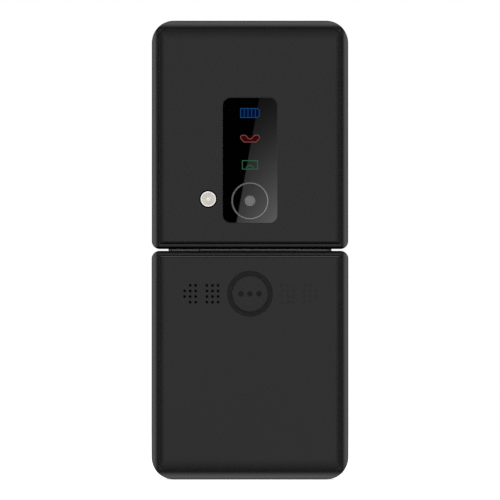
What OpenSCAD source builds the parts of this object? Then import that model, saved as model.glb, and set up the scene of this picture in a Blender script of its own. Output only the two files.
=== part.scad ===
// Flip phone, standing open on its lower end.
// X runs across the phone, Z up its length, and the backs of both halves face -Y.
// The origin is the middle of the footprint, on the surface that the phone stands on.
// Each half is drawn in its own flat frame: X across, Y up the half, Z the depth behind its inner face.

/* [Body] */
// Width of both halves
body_w = 58; // [55:0.5:63]
// Length of each half, from its end to the hinge gap
half_l = 67.45; // [62:0.05:73]
// Gap between the halves when open flat
open_gap = 0.52; // [0.4:0.02:0.7]
// Gap between the inner faces when closed
closed_gap = 0.8; // [0.75:0.05:1.1]
// Corner radius at the outer end of each half
end_corner_r = 6.8; // [5:0.1:7.5]
// Corner radius beside the hinge
hinge_corner_r = 2.4; // [1.5:0.1:3]
// Edge radius around the inner faces
front_edge_r = 1.2; // [0.6:0.1:1.5]

/* [Rim and covers] */
// Width of the frame's rim along the sides, seen from behind
rim_side = 1.9; // [1.7:0.1:2.3]
// Width of the rim at the lower end
rim_foot = 2.9; // [2.5:0.1:3.2]
// Width of the rim at the top of the lid
rim_top = 2.4; // [2.1:0.1:2.8]
// Width of the lid's rim beside the hinge
rim_hinge = 1.5; // [1.4:0.1:1.9]
// Width of the lower half's rim beside the hinge
rim_base_hinge = 1.25; // [1.2:0.05:1.6]
// Width of the steep bevel on the edges beside the hinge
bevel_w = 0.75; // [0.5:0.05:0.9]
// Height of that bevel
bevel_h = 1.6; // [1.2:0.1:1.9]
// How far the rim's round edge would run on under the cover
rim_roll = 0.7; // [0.5:0.05:0.9]
// How far the rim's crest lies below the flat back
rim_drop = 0.35; // [0.2:0.05:0.45]
// Width of the groove between rim and cover
groove_w = 0.2; // [0.1:0.02:0.3]
// Ledge that the cover rests on
cover_ledge = 0.5; // [0.4:0.05:0.6]
// Corner radius of the covers at the outer ends
cover_end_r = 2.9; // [2.2:0.1:3.1]
// Corner radius of the covers beside the hinge
cover_hinge_r = 0.9; // [0.6:0.1:1.2]
// Fall of the cover from its flat back to its edge
crown_drop = 0.35; // [0.3:0.05:0.5]
// Run of that fall along the sides
crown_side = 1.8; // [1.2:0.1:2.2]
// Run of that fall at the outer ends
crown_end = 3; // [2:0.1:3.5]
// Run of that fall beside the hinge
crown_hinge = 0.6; // [0.5:0.1:1]
// Thickness of the rear cover
cover_t = 1.1; // [1:0.05:1.4]
// Thickness of the lid's cover
lid_cover_t = 1.5; // [1.5:0.05:1.7]

/* [Hinge] */
// Diameter of the hinge barrel
barrel_d = 6.4; // [6.2:0.1:6.6]
// Distance of the barrel's ends from the sides of the phone
barrel_inset = 4.9; // [4.5:0.1:5.2]
// Length of each outer knuckle with its end cap
side_knuckle_w = 9; // [8.8:0.1:9.2]
// Gap between two knuckles
knuckle_gap = 0.3; // [0.2:0.05:0.4]
// Thickness of the steel collar between two knuckles
collar_t = 0.8; // [0.6:0.05:1]
// Clearance around the barrel in the other half
barrel_clear = 0.25; // [0.2:0.05:0.35]
// Thickness of the barrel's end caps
cap_t = 1.4; // [1.2:0.1:1.6]
// Radius of the spring cartridge in the barrel
cartridge_r = 2.35; // [2.25:0.05:2.4]
// Distance between the spring cartridge and the pivot pin
wire_room = 10.4; // [9.8:0.1:10.8]
// Radius of the hollow pivot pin
pivot_r = 2.1; // [2.05:0.05:2.2]
// Radius of the wiring bore through the pivot pin
wire_bore_r = 1.6; // [1.5:0.05:1.65]

/* [Keypad] */
// Distance of the number keys from the sides of the phone
keypad_side = 4.5; // [4.3:0.1:5.5]
// Gap between key columns
column_gap = 2; // [1.4:0.1:3]
// Gap between key rows
row_gap = 1.7; // [1.4:0.1:2.5]
// Gap between the number keys and the call and end keys
number_gap = 2.85; // [2.2:0.05:3.6]
// Corner radius of the keys
key_r = 1.4; // [0.8:0.1:2]
// Height that the keys stand proud of the housing
key_proud = 0.35; // [0.2:0.05:0.4]
// Gap around each key
key_gap = 0.15; // [0.1:0.01:0.2]
// Travel of a key
key_travel = 0.25; // [0.2:0.01:0.3]
// Distance of the soft, call and end keys from the sides of the phone
side_key_side = 4; // [3.9:0.1:5]
// Gap between those keys and the ring
side_key_gap = 2.8; // [2:0.1:4]
// Height of those keys
side_key_h = 5.6; // [5:0.1:6]
// Height of those keys above and below the middle of the ring
side_key_dz = 5; // [4.6:0.1:5.2]
// Distance of the ring's middle from the hinge end
ring_from_hinge = 17.85; // [17.5:0.05:18.5]
// Outer radius of the navigation ring
ring_r = 8.6; // [8.2:0.1:8.8]
// Radius of the select key inside the ring
select_r = 4.35; // [4:0.05:4.5]
// Tilt of the navigation ring in degrees
ring_tilt = 1.6; // [1:0.1:1.8]

/* [Lower half] */
// Thickness of the housing's face
face_t = 1; // [0.9:0.05:1.2]
// Thickness of the rubber key mat
mat_t = 0.3; // [0.25:0.01:0.4]
// Thickness of the main board
board_t = 0.8; // [0.6:0.05:1]
// Gap beside the battery
battery_side = 0.6; // [0.4:0.1:2]
// Distance of the battery's upper edge from the hinge end
battery_from_hinge = 24.05; // [23.9:0.05:26]
// Thickness of the battery
battery_t = 4; // [3.8:0.1:5.5]
// Height of the battery's lower edge above the foot
battery_z = 9.4; // [9.2:0.1:9.8]
// Distance of the alarm button's middle from the hinge end
alarm_from_hinge = 12.64; // [12.4:0.02:12.8]
// Radius of the alarm button
alarm_r = 5.33; // [5:0.01:5.5]
// Radius of the sunk ring around the alarm button
alarm_ring_r = 6.7; // [6.5:0.05:6.8]
// Depth of that ring
alarm_ring_d = 0.5; // [0.3:0.05:0.6]
// Travel of the alarm button
alarm_travel = 0.3; // [0.2:0.05:0.4]
// Diameter of a grille hole
grille_hole_d = 0.85; // [0.6:0.05:1]
// Distance between grille holes
grille_pitch = 1.645; // [1.5:0.005:1.7]
// Distance of the grilles' middles outward from the middle of their side
grille_shift = 0.38; // [0:0.02:0.5]
// Depth of the blind grille dimples
dimple_d = 0.35; // [0.2:0.05:0.5]
// Gap beside the loudspeaker
speaker_side = 0.08; // [0.05:0.01:0.8]
// Height of the loudspeaker
speaker_h = 12.8; // [11:0.1:13]
// Width of the charging socket
socket_w = 7.6; // [7:0.1:8]
// Height of the charging socket
socket_h = 2.6; // [2.4:0.05:2.7]

/* [Lid] */
// Distance of the display lens from the sides of the phone
lens_side = 4.8; // [4.7:0.1:6]
// Distance of the display lens from the top of the lid
lens_top = 3.06; // [2.9:0.02:3.6]
// Thickness of the display lens
lens_t = 0.9; // [0.7:0.05:1]
// Depth of the display lens below the inner face
lens_sink = 0.15; // [0.1:0.05:0.2]
// Distance of the display module from the sides of the lens
display_side = 3.2; // [3:0.1:4.5]
// Gap between the display module and the earpiece
display_top = 0.8; // [0.6:0.1:2]
// Thickness of the display module
display_t = 2; // [1.6:0.1:2.6]
// Thickness of the lid's board
lid_board_t = 0.6; // [0.5:0.05:0.8]
// Width of the glossy window panel
panel_w = 16.3; // [15.6:0.1:17]
// Length of the window panel
panel_l = 37.1; // [36.8:0.1:37.8]
// Thickness of the window panel
panel_t = 0.9; // [0.8:0.05:1]
// Corner radius of the window panel
panel_r = 2.4; // [1.6:0.1:3]
// Distance of the panel's lower edge from the hinge end
panel_z = 7.6; // [7.4:0.1:7.8]
// Distance of the camera from the hinge end
camera_z = 14.2; // [14:0.05:14.4]
// Height of the camera over the lid's board
camera_h = 2.05; // [2:0.05:3]
// Radius of the camera's lens
camera_lens_r = 1.55; // [1.4:0.05:1.8]
// Radius of the fine ring around the camera
camera_ring_r = 5.26; // [5.1:0.01:5.5]
// Width of that ring
camera_ring_w = 0.26; // [0.2:0.02:0.4]
// Distance of the torch from the middle of the phone
torch_x = 12.3; // [12:0.05:12.4]
// Distance of the torch from the hinge end
torch_z = 14.75; // [14.6:0.05:15]
// Radius of the torch lens
torch_r = 2.25; // [2.1:0.05:2.4]
// Radius of the sunk ring around the torch lens
torch_ring_r = 2.65; // [2.6:0.05:2.9]
// Distance of the lowest indicator light from the ring around the camera
icon_low = 5.24; // [4:0.01:6]
// Distance of the highest indicator light from the panel's upper edge
icon_top = 4.7; // [4:0.1:6]
// Radius of the rubber bumpers
bumper_r = 1.3; // [1.2:0.05:1.4]
// Distance of the bumpers from the sides of the phone
bumper_side = 3.1; // [3:0.05:3.2]

/* [Fasteners] */
// Radius of the screws in the lower half
screw_r = 0.8; // [0.7:0.05:0.9]
// Radius of the screws in the lid
lid_screw_r = 0.6; // [0.5:0.05:0.65]

/* [Hidden] */
$fn = 64;
slack = 1;               // how far cutters run past the solids that they cut
fit = 0.02;              // clearance of a fixed fit
run_fit = 0.05;          // clearance of a running fit
seat = 0.1;              // clearance of a part laid in its bay
side_gap = 0.3;          // clearance of a board or battery at its sides
skin = 1.2;              // wall left behind the barrel's recess
seam = 0.35;             // from the barrel's recess to the joint between housing and frame
lip = 0.5;               // overlap of parts that are soldered or glued on each other

// Barrel
barrel_r = barrel_d / 2;
recess_r = barrel_r + barrel_clear;
axis_d = -closed_gap / 2;
recess_d = axis_d + recess_r;
recess_l = recess_r - open_gap / 2;
split_d = recess_d + seam;
hinge_wall = recess_l + skin;
barrel_x = body_w / 2 - barrel_inset;
side_x = barrel_x - side_knuckle_w;
left_x = -side_x + knuckle_gap;
collar_gap = knuckle_gap / 2;
right_x = side_x - collar_t - 2 * collar_gap;
cap_x = barrel_x - cap_t;
groove_d = 0.15;
shaft_r = 1.2;
shaft_l = 5;
cam_x = 2;
cam_t = 1;
cam_gap = 0.3;
can_wall = 0.45;
cap_plug = 0.4;
can_front = 1;
can_x = left_x + fit;
pivot_l = 6;
pivot_x = right_x - pivot_l;
can_end = pivot_x - wire_room;
flex_w = 4;
flex_t = 0.15;
flex_in = 3.6;
flex_x = side_x + flex_in;
lid_flex_x = pivot_x - flex_w;
flex_tail = 2;
flex_meet = pivot_x + 0.85;
flex_end_gap = 0.05;
flex_slot = 0.2;
roll_r = wire_bore_r - 0.2;
flex_d = axis_d + roll_r - flex_t;

// Depths in the lower half
flange_w = 0.4;
flange_t = 0.3;
press_gap = 0.05;
nub_t = 0.23;
nub_r = 1.2;
dome_h = 0.3;
flange_d = face_t + fit;
mat_d = flange_d + flange_t + key_travel + press_gap;
dome_d = mat_d + mat_t + nub_t + press_gap;
board_d = dome_d + dome_h;
part_d = board_d + board_t;
post_h = 0.7;
floor_t = 0.7;
floor_d = part_d + post_h;
bay_d = floor_d + floor_t;
battery_d = bay_d + seat;
base_t = battery_d + battery_t + seat + cover_t;
cover_d = base_t - cover_t;

// Depths in the lid
lens_glue = 0.05;
lens_ledge_t = 0.5;
bezel_t = lens_sink + lens_t + lens_glue + lens_ledge_t;
display_d = bezel_t + lens_glue;
lid_board_d = display_d + display_t + seat;
lid_part_d = lid_board_d + lid_board_t;
panel_gap = 0.08;
panel_sink = 0.02;
lid_t = lid_part_d + camera_h + panel_gap + panel_t + panel_sink;
panel_d = lid_t - panel_sink - panel_t;
lid_cover_d = lid_t - lid_cover_t;

// Where the halves lie
depth = base_t - axis_d + barrel_r;
inner_y = base_t - depth / 2;
lid_z = half_l + open_gap;

// Bays
bay_x = body_w / 2 - rim_side - cover_ledge;
bay_low = rim_foot + cover_ledge;
bay_high = half_l - rim_base_hinge - cover_ledge;
bay_r = 2.4;
housing_high = half_l - hinge_wall;
lid_high = half_l - rim_top - cover_ledge;
board_low = bay_low + side_gap;
board_high = housing_high - side_gap;
boss_r = 2.2;
boss_gap = 0.2;
boss_x = bay_x - boss_r - boss_gap;
boss_low = board_low + boss_r;
boss_high = board_high - boss_r;
boss_notch = 2 * (boss_r + side_gap);
bosses = [for (x = [-boss_x, boss_x], z = [boss_low, boss_high]) [x, z]];
screw_head_r = 2 * screw_r;
screw_head_t = 1.1;
screw_tip = 0.6;
tip_gap = 0.2;
cross_w = 0.4;
cross_l = 1.9;
cross_d = 0.5;

// Keys: the first column is at +X, which is the left as the keypad is read
ring_z = half_l - ring_from_hinge;
keys_low = boss_low + boss_r + flange_w + 0.5 * side_gap;
keys_high = ring_z - side_key_dz - side_key_h / 2 - number_gap;
key_w = (body_w - 2 * keypad_side - 2 * column_gap) / 3;
key_h = (keys_high - keys_low - 3 * row_gap) / 4;
key_pitch_x = key_w + column_gap;
key_pitch_z = key_h + row_gap;
key_row_z = keys_low + key_h / 2;
side_key_w = body_w / 2 - side_key_side - side_key_gap - ring_r;
side_key_x = body_w / 2 - side_key_side - side_key_w / 2;
mat_edge = 0.3;
mat_low = keys_low - flange_w - mat_edge;
mat_high = ring_z + side_key_dz + side_key_h / 2 + flange_w + mat_edge;
mat_x = bay_x - 2 * mat_edge;
mat_r = 1;
mat_hole_r = ring_r + flange_w + lip;
number_keys = [for (row = [0:3], column = [-1:1]) [column * key_pitch_x, key_row_z + row * key_pitch_z]];
side_keys = [for (x = [-side_key_x, side_key_x], dz = [-side_key_dz, side_key_dz]) [x, ring_z + dz]];
ring_gap = 0.25;
ring_in = select_r + ring_gap;
ring_dome_r = (ring_r + ring_in) / 2;
ring_lift = sqrt(2) * (ring_r + flange_w) * sin(ring_tilt);
tilt_gap = 0.04;
ring_flange_d = face_t + ring_lift + tilt_gap;
ring_flange_t = 0.22;
select_d = face_t + key_gap;
web_w = 5.2;
web_t = 0.15;
web_over = 0.8;
web_hole_r = 1.9;
web_gap = web_w / 2 * sin(ring_tilt) + tilt_gap;
dome_r = 2.4;
dome_crown_r = 1.2;
dome_lean = 0.2;
dome_sheet = 0.1;
ring_domes = [[0, 0], [ring_dome_r, 0], [-ring_dome_r, 0], [0, ring_dome_r], [0, -ring_dome_r]];

// Parts behind the rear cover
alarm_z = half_l - alarm_from_hinge;
alarm_gap = 0.15;
alarm_flange_w = 0.55;
alarm_flange_t = 0.55;
button_sink = 0.05;
switch_w = 6;
switch_h = 3.5;
plunger_h = 0.8;
plunger_r = 1.7;
stem_r = 1.5;
rib_t = 0.9;
window_gap = 0.3;
battery_w = 2 * (bay_x - battery_side);
battery_h = half_l - battery_from_hinge - battery_z;
battery_r = 1.5;
grille_in = alarm_r + alarm_flange_w;
grille_out = boss_x - boss_r;
grille_x = (grille_in + grille_out) / 2 + grille_shift;
speaker_w = grille_out - grille_in - 2 * (grille_shift + speaker_side);
speaker_r = 1;
gasket_t = 0.4;
gasket_w = 0.8;
socket_l = 5.4;
socket_out = 2.9;
socket_wall = 0.4;
socket_back = 1;
socket_r = 0.3;
tongue_t = 0.6;
card_side = 2.6;
card_gap = 3;
card_w = (2 * (bay_x - card_side) - 2 * card_gap) / 3;
card_h = 14;
card_t = 1.25;
card_x = [-card_w - card_gap, 0, card_w + card_gap];
card_low = 2;
card_z = battery_z + card_low + card_h / 2;
card_wall = 0.6;
card_roof = 0.25;
card_stop = 1;
shield_side = 4.1;
shield_gap = 2.5;
shield_w = bay_x - shield_side - shield_gap;
shield_x = shield_gap + shield_w / 2;
shield_low = card_z + card_h / 2 + card_gap;
shield_h = battery_z + battery_h - card_low - shield_low;
shield_z = shield_low + shield_h / 2;
shield_t = 1.3;
shield_r = 0.6;
sheet_t = 0.2;
contact_w = 9;
contact_h = 3;
contact_t = 2.4;
contact_z = battery_z + battery_h + side_gap + rib_t + seat;
blade_w = 1.2;
blade_d = 0.8;
blade_pitch = 3;
motor_r = 4;
motor_t = 2.7;
motor_x = grille_x;
motor_z = alarm_z - 1;
driver_w = 7;
driver_t = 0.6;
chip_x = 14;
chip_w = 4;
chip_h = 2.6;
chip_t = 0.5;
chip_z = board_low + 2.2;
mic_x = 9;
mic_w = 4;
mic_h = 3;
mic_t = 1.1;
mic_hole_d = 1;
tab_w = 5;
tab_x = 12;
tab_t = 0.8;
tab_l = 1.4;

// Parts in the lid
lens_r = 3;
lens_low = 1;
lens_z = hinge_wall + lens_low;
lens_w = body_w - 2 * lens_side;
lens_l = half_l - lens_top - lens_z;
ear_from_top = 3.4;
ear_z = lens_z + lens_l - ear_from_top;
ear_w = 10;
ear_h = 4.4;
ear_t = 1.7;
ear_r = 1;
ear_port_d = 0.4;
ear_slot_w = 8;
ear_slot_h = 1.2;
ear_slot_r = 0.5;
display_low = 0.6;
display_z = lens_z + display_low;
display_w = lens_w - 2 * display_side;
display_l = ear_z - ear_h / 2 - display_top - display_z;
display_r = 0.6;
view_w = display_w - 5;
view_l = display_l - 4.5;
lid_board_side = 4.6;
lid_board_w = 2 * (bay_x - lid_board_side);
lid_board_gap = 0.8;
lid_board_low = hinge_wall + lid_board_gap;
lid_board_h = ear_z - ear_h / 2 - lid_board_gap / 2 - lid_board_low;
panel_fit = 0.08;
panel_seat = 1.2;
icon_z0 = camera_z + camera_ring_r + icon_low;
icon_pitch = (panel_z + panel_l - icon_top - icon_z0) / 2;
icon_z = [for (i = [0:2]) icon_z0 + i * icon_pitch];
camera_w = 6.5;
camera_body_t = 1.4;
camera_barrel_r = 2.4;
camera_well_r = 1.2;
camera_well_d = 1;
camera_ring_t = 0.3;
guide_rib = 1;
guide_w = 7;
guide_h = 4;
led_w = 1.6;
led_t = 0.5;
torch_led_w = 3;
torch_led_t = 0.7;
torch_flange_w = 0.6;
torch_flange_t = 0.6;
torch_ring_d = 0.45;
bumper_gap = 0.1;
bumper_t = closed_gap - bumper_gap;
bumper_in = 0.5;
bumper_x = body_w / 2 - bumper_side;
bumper_from_hinge = 5;
bumper_from_top = 3.2;
bumper_low = hinge_wall + bumper_from_hinge;
bumper_high = lid_high - bumper_from_top;
bumpers_at = [for (x = [-bumper_x, bumper_x], z = [bumper_low, bumper_high]) [x, z]];
lid_head_t = 0.7;
lid_screw_l = 1.6;
lid_boss_r = 1.8;
lid_cross_w = 0.3;
lid_cross_l = 1.3;
lid_cross_d = 0.35;
magnet_w = 5;
magnet_h = 3;
magnet_t = 1.5;
magnet_in = 7.2;
magnet_x = lens_w / 2 - magnet_in;

// ---- Places ----

module at_base() {
    translate([0, inner_y, 0]) rotate([90, 0, 0]) children();
}

module at_lid() {
    translate([0, inner_y, lid_z]) rotate([90, 0, 0]) children();
}

// ---- Shared shapes ----

// What is taken off a corner at the origin, whose solid lies towards sx, sy
module corner_cut(sx, sy, run, drop, r) {
    difference() {
        translate([sx * (run - slack) / 2, sy * (drop + r - slack) / 2])
            square([run + slack, drop + r + slack], center = true);
        translate([sx * run, sy * (drop + r)]) circle(r);
    }
}

// A rectangle that stands on the X axis, with a corner radius for each end
module outline(w, l, r_low, r_high) {
    difference() {
        translate([-w / 2, 0]) square([w, l]);
        for (side = [-1, 1]) {
            translate([side * w / 2, 0]) corner_cut(-side, 1, r_low, 0, r_low);
            translate([side * w / 2, l]) corner_cut(-side, -1, r_high, 0, r_high);
        }
    }
}

// A plate with round corners, centred on x, z, between two depths
module plate(x, z, w, h, r, d0, d1) {
    translate([x, z - h / 2, d0]) linear_extrude(d1 - d0) outline(w, h, r, r);
}

// A square-cornered block, centred on x, z, between two depths
module block(x, z, w, h, d0, d1) {
    translate([x - w / 2, z - h / 2, d0]) cube([w, h, d1 - d0]);
}

// A disc or post, centred on x, z, between two depths
module post(x, z, r, d0, d1) {
    translate([x, z, d0]) cylinder(h = d1 - d0, r = r);
}

// Extrudes a section drawn as x, depth along the half
module along_half() {
    translate([0, half_l + slack, 0]) rotate([90, 0, 0]) linear_extrude(half_l + 2 * slack) children();
}

// Extrudes a section drawn as height, depth across the half
module across_half() {
    translate([-body_w / 2 - slack, 0, 0]) rotate([90, 0, 90]) linear_extrude(body_w + 2 * slack) children();
}

// What rolls off the back edge of a rim, whose solid lies towards sx
module rolled_edge(sx, rim) {
    corner_cut(sx, -1, rim + rim_roll, rim_drop, rim + rim_roll);
}

// What leaves a flat crest and a steep bevel beside the hinge
module bevelled_edge(sx, rim) {
    polygon([
        [-sx * slack, slack],
        [sx * (rim + rim_roll), slack],
        [sx * (rim + rim_roll), -rim_drop],
        [sx * bevel_w, -rim_drop],
        [0, -rim_drop - bevel_h],
        [-sx * slack, -rim_drop - bevel_h]
    ]);
}

// Section of a half from a to b, rounded at the inner face; the children come off its back edges
module half_section(a, b, t) {
    difference() {
        translate([a, 0]) square([b - a, t]);
        translate([a, 0]) corner_cut(1, 1, front_edge_r, 0, front_edge_r);
        translate([b, 0]) corner_cut(-1, 1, front_edge_r, 0, front_edge_r);
        translate([a, t]) children(0);
        translate([b, t]) children(1);
    }
}

// The form of a half before its ends are shaped
module half_form(t, r_low, r_high) {
    intersection() {
        linear_extrude(t) outline(body_w, half_l, r_low, r_high);
        along_half() half_section(-body_w / 2, body_w / 2, t) {
            rolled_edge(1, rim_side);
            rolled_edge(-1, rim_side);
        }
    }
}

module base_form() {
    intersection() {
        half_form(base_t, end_corner_r, hinge_corner_r);
        across_half() half_section(0, half_l, base_t) {
            rolled_edge(1, rim_foot);
            bevelled_edge(-1, rim_base_hinge);
        }
    }
}

module lid_form() {
    intersection() {
        half_form(lid_t, hinge_corner_r, end_corner_r);
        across_half() half_section(0, half_l, lid_t) {
            bevelled_edge(1, rim_hinge);
            rolled_edge(-1, rim_top);
        }
    }
}

// The part of a half between two depths
module slab(d0, d1) {
    translate([-body_w / 2 - slack, -slack, d0]) cube([body_w + 2 * slack, half_l + 2 * slack, d1 - d0]);
}

// Radius of the arc that falls by crown_drop over a run
function crown_radius(run) = (run * run + crown_drop * crown_drop) / (2 * crown_drop);

// Section of a cover from a to b, with its crowned back at depth t
module cover_section(a, b, d, t, run_a, run_b) {
    difference() {
        translate([a, d]) square([b - a, t - d]);
        translate([a, t]) corner_cut(1, -1, run_a, 0, crown_radius(run_a));
        translate([b, t]) corner_cut(-1, -1, run_b, 0, crown_radius(run_b));
    }
}

// A crowned cover between two heights
module cover_form(low, high, d, t, run_low, run_high, r_low, r_high) {
    w = body_w - 2 * (rim_side + groove_w);
    intersection() {
        translate([0, low, d]) linear_extrude(t - d) outline(w, high - low, r_low, r_high);
        along_half() cover_section(-w / 2, w / 2, d, t, crown_side, crown_side);
        across_half() cover_section(low, high, d, t, run_low, run_high);
    }
}

// The pocket that a cover lies in, given the cover's corner radii
module cover_pocket(low, high, d, t, r_low, r_high) {
    translate([0, low, d]) linear_extrude(t - d + slack)
        outline(body_w - 2 * rim_side, high - low, r_low + groove_w, r_high + groove_w);
}

// The hollow of a frame between two heights, from its joint to its back
module frame_bay(low, high, t) {
    plate(0, (low + high) / 2, 2 * bay_x, high - low, bay_r, split_d - slack, t + slack);
}

// Four tabs under a cover, which locate it in a bay that runs from low to high
module cover_tabs(low, high, d) {
    for (x = [-tab_x, tab_x], z = [low + seat, high - seat - tab_t])
        translate([x - tab_w / 2, z, d - tab_l]) cube([tab_w, tab_t, tab_l + seat]);
}

// A round piece on the hinge axis, in either half's frame, at height z
module on_axis(z, x0, x1, r) {
    translate([x0, z, axis_d]) rotate([0, 90, 0]) cylinder(h = x1 - x0, r = r);
}

base_axis_z = half_l + open_gap / 2;
lid_axis_z = -open_gap / 2;

// ---- Lower half: casing ----

module key_holes() {
    for (p = number_keys)
        plate(p.x, p.y, key_w + 2 * key_gap, key_h + 2 * key_gap, key_r + key_gap, -slack, face_t + slack);
    for (p = side_keys)
        plate(p.x, p.y, side_key_w + 2 * key_gap, side_key_h + 2 * key_gap, key_r + key_gap,
              -slack, face_t + slack);
    post(0, ring_z, ring_r + key_gap, -slack, face_t + slack);
}

module flex_passage(x, z0, z1) {
    translate([x - flex_w / 2 - flex_slot, z0, flex_d - flex_slot])
        cube([flex_w + 2 * flex_slot, z1 - z0, flex_t + 2 * flex_slot]);
}

// The way in for the charging plug, through the lower end
module socket_mouth() {
    block(0, socket_l / 2, socket_w + 2 * seat, 2 * socket_l, part_d - seat, part_d + socket_h + seat);
}

module keypad_housing() {
    color("#26272a") at_base() difference() {
        union() {
            difference() {
                intersection() {
                    base_form();
                    slab(0, split_d);
                }
                translate([-bay_x, bay_low, face_t]) cube([2 * bay_x, housing_high - bay_low, split_d]);
            }
            for (p = bosses) post(p.x, p.y, boss_r, face_t - fit, floor_d);
            on_axis(base_axis_z, -cap_x, -side_x, barrel_r);
            on_axis(base_axis_z, side_x, cap_x, barrel_r);
        }
        on_axis(base_axis_z, -side_x, side_x, recess_r);
        for (side = [-1, 1]) on_side(side, cap_x, barrel_x + fit, barrel_r + fit);
        on_axis(base_axis_z, -cap_x - slack, -side_x + slack, cartridge_r + fit);
        on_axis(base_axis_z, side_x - slack, cap_x + slack, pivot_r + fit);
        flex_passage(flex_x, housing_high - slack, base_axis_z);
        key_holes();
        for (p = bosses) post(p.x, p.y, screw_r + fit, face_t + screw_tip - tip_gap, floor_d + slack);
        post(mic_x, boss_low, mic_hole_d / 2, -slack, face_t + slack);
        socket_mouth();
    }
}

// A window in the frame's floor around a part of this width and height
module window(x, z, w, h) {
    block(x, z, w + 2 * window_gap, h + 2 * window_gap, floor_d - slack, bay_d + slack);
}

module floor_windows() {
    for (x = card_x) window(x, card_z, card_w, card_h);
    for (side = [-1, 1]) window(side * shield_x, shield_z, shield_w, shield_h);
    window(0, alarm_z, switch_w, switch_w);
    window(0, contact_z + contact_h / 2, contact_w, contact_h);
}

module battery_ribs() {
    for (z = [battery_z - side_gap - rib_t, battery_z + battery_h + side_gap])
        translate([-bay_x, z, bay_d]) cube([2 * bay_x, rib_t, cover_d - seat - bay_d]);
}

module base_frame() {
    color("#26272a") at_base() difference() {
        union() {
            difference() {
                intersection() {
                    base_form();
                    slab(split_d, base_t);
                }
                frame_bay(bay_low, bay_high, base_t);
            }
            translate([-bay_x, bay_low, floor_d]) cube([2 * bay_x, bay_high - bay_low, floor_t]);
            battery_ribs();
        }
        cover_pocket(rim_foot, half_l - rim_base_hinge, cover_d, base_t, cover_end_r, cover_hinge_r);
        floor_windows();
        for (p = bosses) post(p.x, p.y, screw_r + seat, floor_d - slack, bay_d + slack);
        socket_mouth();
        block(0, contact_z, contact_w + 2 * window_gap, 2 * rib_t + 2 * side_gap, bay_d, cover_d);
    }
}

// Grille holes: two groups of three columns, the outermost column in the middle rows only
module grille(side, d0, d1) {
    for (column = [-3:3], row = [-1.5:1.5])
        if (column != 0 && !(column == -3 && abs(row) > 1))
            translate([side * (column * grille_pitch - grille_x), alarm_z + row * grille_pitch])
                post(0, 0, grille_hole_d / 2, d0, d1);
}

module rear_cover() {
    low = rim_foot + groove_w;
    high = half_l - rim_base_hinge - groove_w;
    color("#2e2f31") at_base() difference() {
        union() {
            cover_form(low, high, cover_d, base_t, crown_end, crown_hinge, cover_end_r, cover_hinge_r);
            cover_tabs(bay_low, bay_high, cover_d);
        }
        post(0, alarm_z, alarm_r + alarm_gap, cover_d - slack, base_t + slack);
        post(0, alarm_z, alarm_ring_r, base_t - alarm_ring_d, base_t + slack);
        grille(1, cover_d - slack, base_t + slack);
        grille(-1, base_t - dimple_d, base_t + slack);
    }
}

// ---- Lower half: electronics ----

module battery() {
    z = battery_z + battery_h / 2;
    color("#c9c9c4") at_base()
        plate(0, z, battery_w, battery_h, battery_r, battery_d, battery_d + battery_t);
}

module battery_contacts() {
    color("#c9a24a") at_base() {
        block(0, contact_z + contact_h / 2, contact_w, contact_h, part_d, bay_d + contact_t);
        for (x = [-blade_pitch, 0, blade_pitch])
            translate([x - blade_w / 2, battery_z + battery_h + seat, bay_d + blade_d])
                cube([blade_w, contact_z - battery_z - battery_h, blade_w]);
    }
}

module main_board() {
    color("#1d5b34") at_base() {
        difference() {
            translate([-bay_x + side_gap, board_low, board_d])
                cube([2 * (bay_x - side_gap), board_high - board_low, board_t]);
            for (p = bosses) block(p.x, p.y, boss_notch, boss_notch, board_d - slack, part_d + slack);
        }
        for (x = [-chip_x, chip_x]) block(x, chip_z, chip_w, chip_h, part_d, part_d + chip_t);
        block(motor_x, alarm_z, driver_w, driver_w, part_d, part_d + driver_t);
    }
}

module shield_cans() {
    color("#b9bcc0") at_base() for (side = [-1, 1]) difference() {
        plate(side * shield_x, shield_z, shield_w, shield_h, shield_r, part_d, part_d + shield_t);
        block(side * shield_x, shield_z, shield_w - 2 * sheet_t, shield_h - 2 * sheet_t,
              part_d - slack, part_d + shield_t - sheet_t);
    }
}

module card_sockets() {
    color("#b9bcc0") at_base() for (x = card_x) difference() {
        block(x, card_z, card_w, card_h, part_d, part_d + card_t);
        block(x, card_z - card_stop, card_w - 2 * card_wall, card_h, part_d + side_gap,
              part_d + card_t - card_roof);
    }
}

module charging_socket() {
    front = board_low - socket_out;
    slot_t = (socket_h - tongue_t) / 2 - socket_wall;
    color("#b9bcc0") at_base() difference() {
        plate(0, front + socket_l / 2, socket_w, socket_l, socket_r, part_d, part_d + socket_h);
        for (d = [part_d + socket_wall, part_d + socket_wall + slot_t + tongue_t])
            block(0, front, socket_w - 2 * socket_wall, 2 * (socket_l - socket_back), d, d + slot_t);
    }
}

module microphone() {
    color("#b9bcc0") at_base() block(mic_x, boss_low, mic_w, mic_h, board_d - mic_t, board_d);
}

// A shallow snap dome that stands on the board with its crown towards the keys
module dome(x, z) {
    translate([x, z, board_d - dome_h]) difference() {
        cylinder(h = dome_h, r1 = dome_crown_r, r2 = dome_r);
        translate([0, 0, dome_sheet])
            cylinder(h = dome_h, r1 = dome_crown_r - dome_sheet, r2 = dome_r + dome_lean - dome_sheet);
    }
}

module key_domes() {
    color("#d8d8d2") at_base() {
        for (p = number_keys) dome(p.x, p.y);
        for (p = side_keys) dome(p.x, p.y);
        for (p = ring_domes) dome(p.x, ring_z + p.y);
    }
}

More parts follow.
